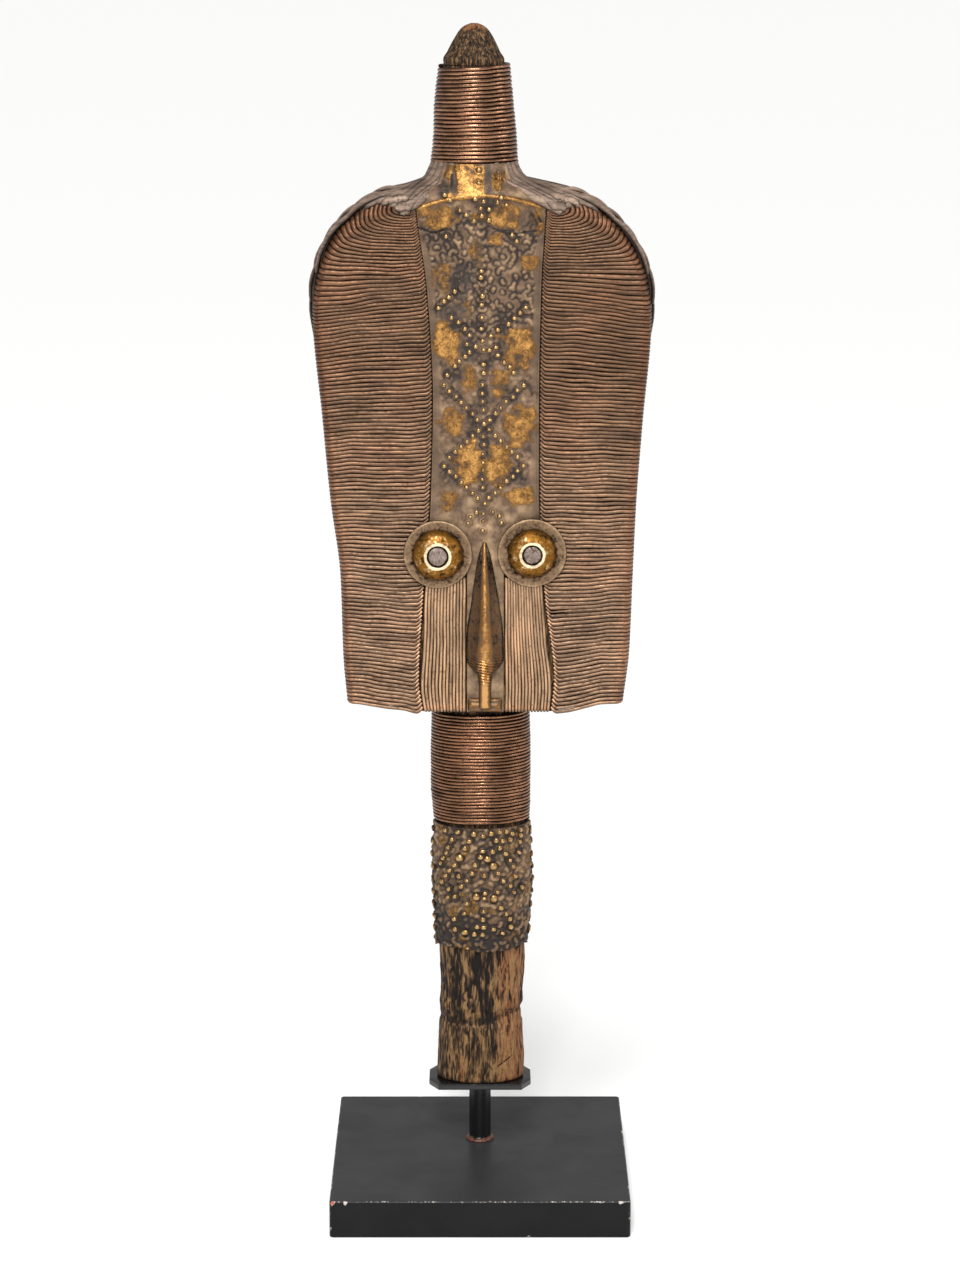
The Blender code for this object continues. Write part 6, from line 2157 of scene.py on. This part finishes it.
@dataclass
class Studio:
    """White floor, soft lights and the camera at the photograph's angle."""

    paper: Material
    floor_size: float = 60.0
    lens: float = 95.96
    sensor: float = 36.0
    camera_place: Triple = (0.0, -1.556, 0.621)
    camera_tilt: float = 77.26
    sky: float = 0.46
    sun: float = 2.15
    sun_width: float = 30.0
    sun_tilt: tuple[float, float] = (32.0, -14.0)

    def floor(self) -> None:
        """Lay the floor."""
        half = self.floor_size / 2.0
        mesh = bpy.data.meshes.new("floor")
        corners = [(-half, -half, 0.0), (half, -half, 0.0), (half, half, 0.0), (-half, half, 0.0)]
        mesh.from_pydata(corners, [], [(0, 1, 2, 3)])
        floor = make_object("floor", mesh)
        mesh.materials.append(self.paper)

    def light(self, name: str, place: tuple[float, ...], aim: tuple[float, ...], size: float, watts: float) -> None:
        """Hang one soft square light.

        Args:
            name: the light's name.
            place: where it hangs.
            aim: what it points at.
            size: its side.
            watts: its power.
        """
        data = bpy.data.lights.new(name, "AREA")
        data.size = size
        data.energy = watts
        lamp = bpy.data.objects.new(name, data)
        lamp.location = place
        lamp.rotation_euler = (Vector(aim) - Vector(place)).to_track_quat("-Z", "Y").to_euler()
        bpy.context.scene.collection.objects.link(lamp)

    def camera(self) -> None:
        """Set the camera of the photograph."""
        data = bpy.data.cameras.new("camera")
        data.lens = self.lens
        data.sensor_width = self.sensor
        data.sensor_fit = "AUTO"
        camera = bpy.data.objects.new("camera", data)
        camera.location = self.camera_place
        camera.rotation_euler = (radians(self.camera_tilt), 0.0, 0.0)
        bpy.context.scene.collection.objects.link(camera)
        bpy.context.scene.camera = camera

    def build(self) -> None:
        """Set floor, sky, lights and camera."""
        self.floor()
        world = bpy.data.worlds.new("studio")
        bpy.context.scene.world = world
        world.use_nodes = True
        background = world.node_tree.nodes["Background"]
        background.inputs["Color"].default_value = (1.0, 1.0, 1.0, 1.0)
        background.inputs["Strength"].default_value = self.sky
        bpy.context.scene.view_settings.view_transform = "Standard"
        data = bpy.data.lights.new("daylight", "SUN")
        data.energy = self.sun
        data.angle = radians(self.sun_width)
        daylight = bpy.data.objects.new("daylight", data)
        daylight.rotation_euler = (radians(self.sun_tilt[0]), 0.0, radians(self.sun_tilt[1]))
        bpy.context.scene.collection.objects.link(daylight)
        self.light("key", (-0.05, -1.5, 1.2), (0.0, 0.0, 0.32), 0.3, 17.0)
        self.light("rim", (1.2, -0.3, 0.9), (0.0, 0.0, 0.32), 0.5, 5.0)
        self.camera()


def main() -> None:
    """Build the figure piece by piece, then the studio."""
    logging.basicConfig(level=logging.INFO, format="%(name)s: %(message)s")
    wires, studs = wire_tree(), stud_tree()
    panel_wire = DrawnCopperWire("drawn_copper_wire", groove="#2A1C13", flank="#4A3122", body="#5B422D",
        top="#694D38", blush_and_bend_highlight="#804820", edge="#4A382C", edge_top="#7A6452", low_light_and_tone=(1.62, 1.84, 2.1),
        roughness=0.42, metallic=0.66).make()
    cheek_wire = DrawnCopperWire("rubbed_copper_wire", groove="#2A1A11", flank="#553C2A", body="#88684A",
        top="#B09072", blush_and_bend_highlight="#7A5230", edge="#2E2018", edge_top="#5E4836", upright=True).make()
    coil_wire = DrawnCopperWire("wound_copper_wire", groove="#140C08", flank="#2C1B12", body="#4E3222",
        top="#967056", blush_and_bend_highlight="#703C24", edge="#5A3A28", edge_top="#8A6248", low_light_and_tone=(0.8, 0.76, 0.72),
        patch=0.014, roughness=0.25, metallic=0.88).make()
    strands = DrawnCopperWire("patinated_copper_strand", groove="#150F0B", flank="#3C2F26", body="#5E4D41",
        top="#826E5E", blush_and_bend_highlight="#5A4030", edge="#463830", edge_top="#887464", streak=0.0013, roughness=0.55,
        metallic=0.4).make()
    sheet = HammeredBrassSheet().make()
    neck_sheet = HammeredBrassSheet("beaten_neck_sheet", low="#21170F", crust="#664E36", high="#9A7E5E",
        gold="#7E5C32", bright="#B08850").make()
    # the studs take their colour from crown, their height: dark at the foot, painted shade, and pale at the top,
    # rubbed wear with a painted highlight
    shaded_stud_brass = RubbedBrass("rubbed_and_shaded_brass_studs", dark="#2A1F17", brown="#5A442E", gold="#7C5E38", pale="#BA9868",
        attribute="crown").make()
    boss_brass = RubbedBrass("beaten_brass_boss", dark="#20150C", brown="#5C4018", gold="#86591C", pale="#EEDCB8",
        roughness=0.38).make()
    nose_brass = RubbedBrass("folded_brass", dark="#241C17", brown="#685442", gold="#80592E", pale="#C0905A",
        roughness=0.34).make()
    washer_brass = RubbedBrass("tarnished_brass_washer", dark="#1E1610", brown="#755E48", gold="#947A5E",
        pale="#C4AC8A", roughness=0.46).make()
    iron = RubbedBrass("worn_iron", dark="#1A1512", brown="#5E5048", gold="#94837A", pale="#C8BAB0", roughness=0.38,
        fleck=0.0008).make()

    for half in HALVES:
        panel = WirePanel(half, panel_wire, wires, gap_z=0.285 if half.side is Side.RIGHT else 0.0)
        panel.dress(panel.build())
        binding = ShoulderBinding(half, strands, wires)
        binding.dress(binding.build())
    for band in (CheekBand(Side.LEFT, ((0.2364, -0.0066, -0.026), (0.25, -0.0066, -0.0275),
            (0.27, -0.0066, -0.0264), (0.3018, -0.0066, -0.0251)), 13, cheek_wire, wires),
            CheekBand(Side.RIGHT, ((0.2364, 0.0116, 0.0323), (0.25, 0.0116, 0.0333), (0.27, 0.0116, 0.031),
            (0.3018, 0.0116, 0.0284)), 14, cheek_wire, wires)):
        band.dress(band.build())
    for coil in (Coil("neck_coil", "neck_wrap", NECK, 0.1793, 0.2356, 34, 11, coil_wire, wires),
            Coil("finial_coil", "finial_wrap", FINIAL, 0.4842, 0.5362, 28, 12, coil_wire, wires, slant=0.0008)):
        coil.dress(coil.build())
    strip = FaceStrip(sheet, shaded_stud_brass, studs)
    strip.dress(*strip.build())
    sleeve = NeckSleeve(neck_sheet, shaded_stud_brass, studs)
    sleeve.dress(*sleeve.build())
    nose = Nose(nose_brass)
    nose.dress(nose.build())
    for eye in (Eye(Side.LEFT, -0.0195, 0.3118, 0.0159, 0.0118, 0.0048, washer_brass, boss_brass, iron),
            Eye(Side.RIGHT, 0.0241, 0.3125, 0.016, 0.0113, 0.0045, washer_brass, boss_brass, iron)):
        eye.dress(*eye.build())
    core = CarvedCore(CarvedHardwood().make())
    core.dress(core.build())
    stand = Stand(BrushedLacquer().make(), PaintedSteel().make())
    stand.dress(*stand.build())
    Studio(StudioPaper().make()).build()


if __name__ == "__main__":
    main()
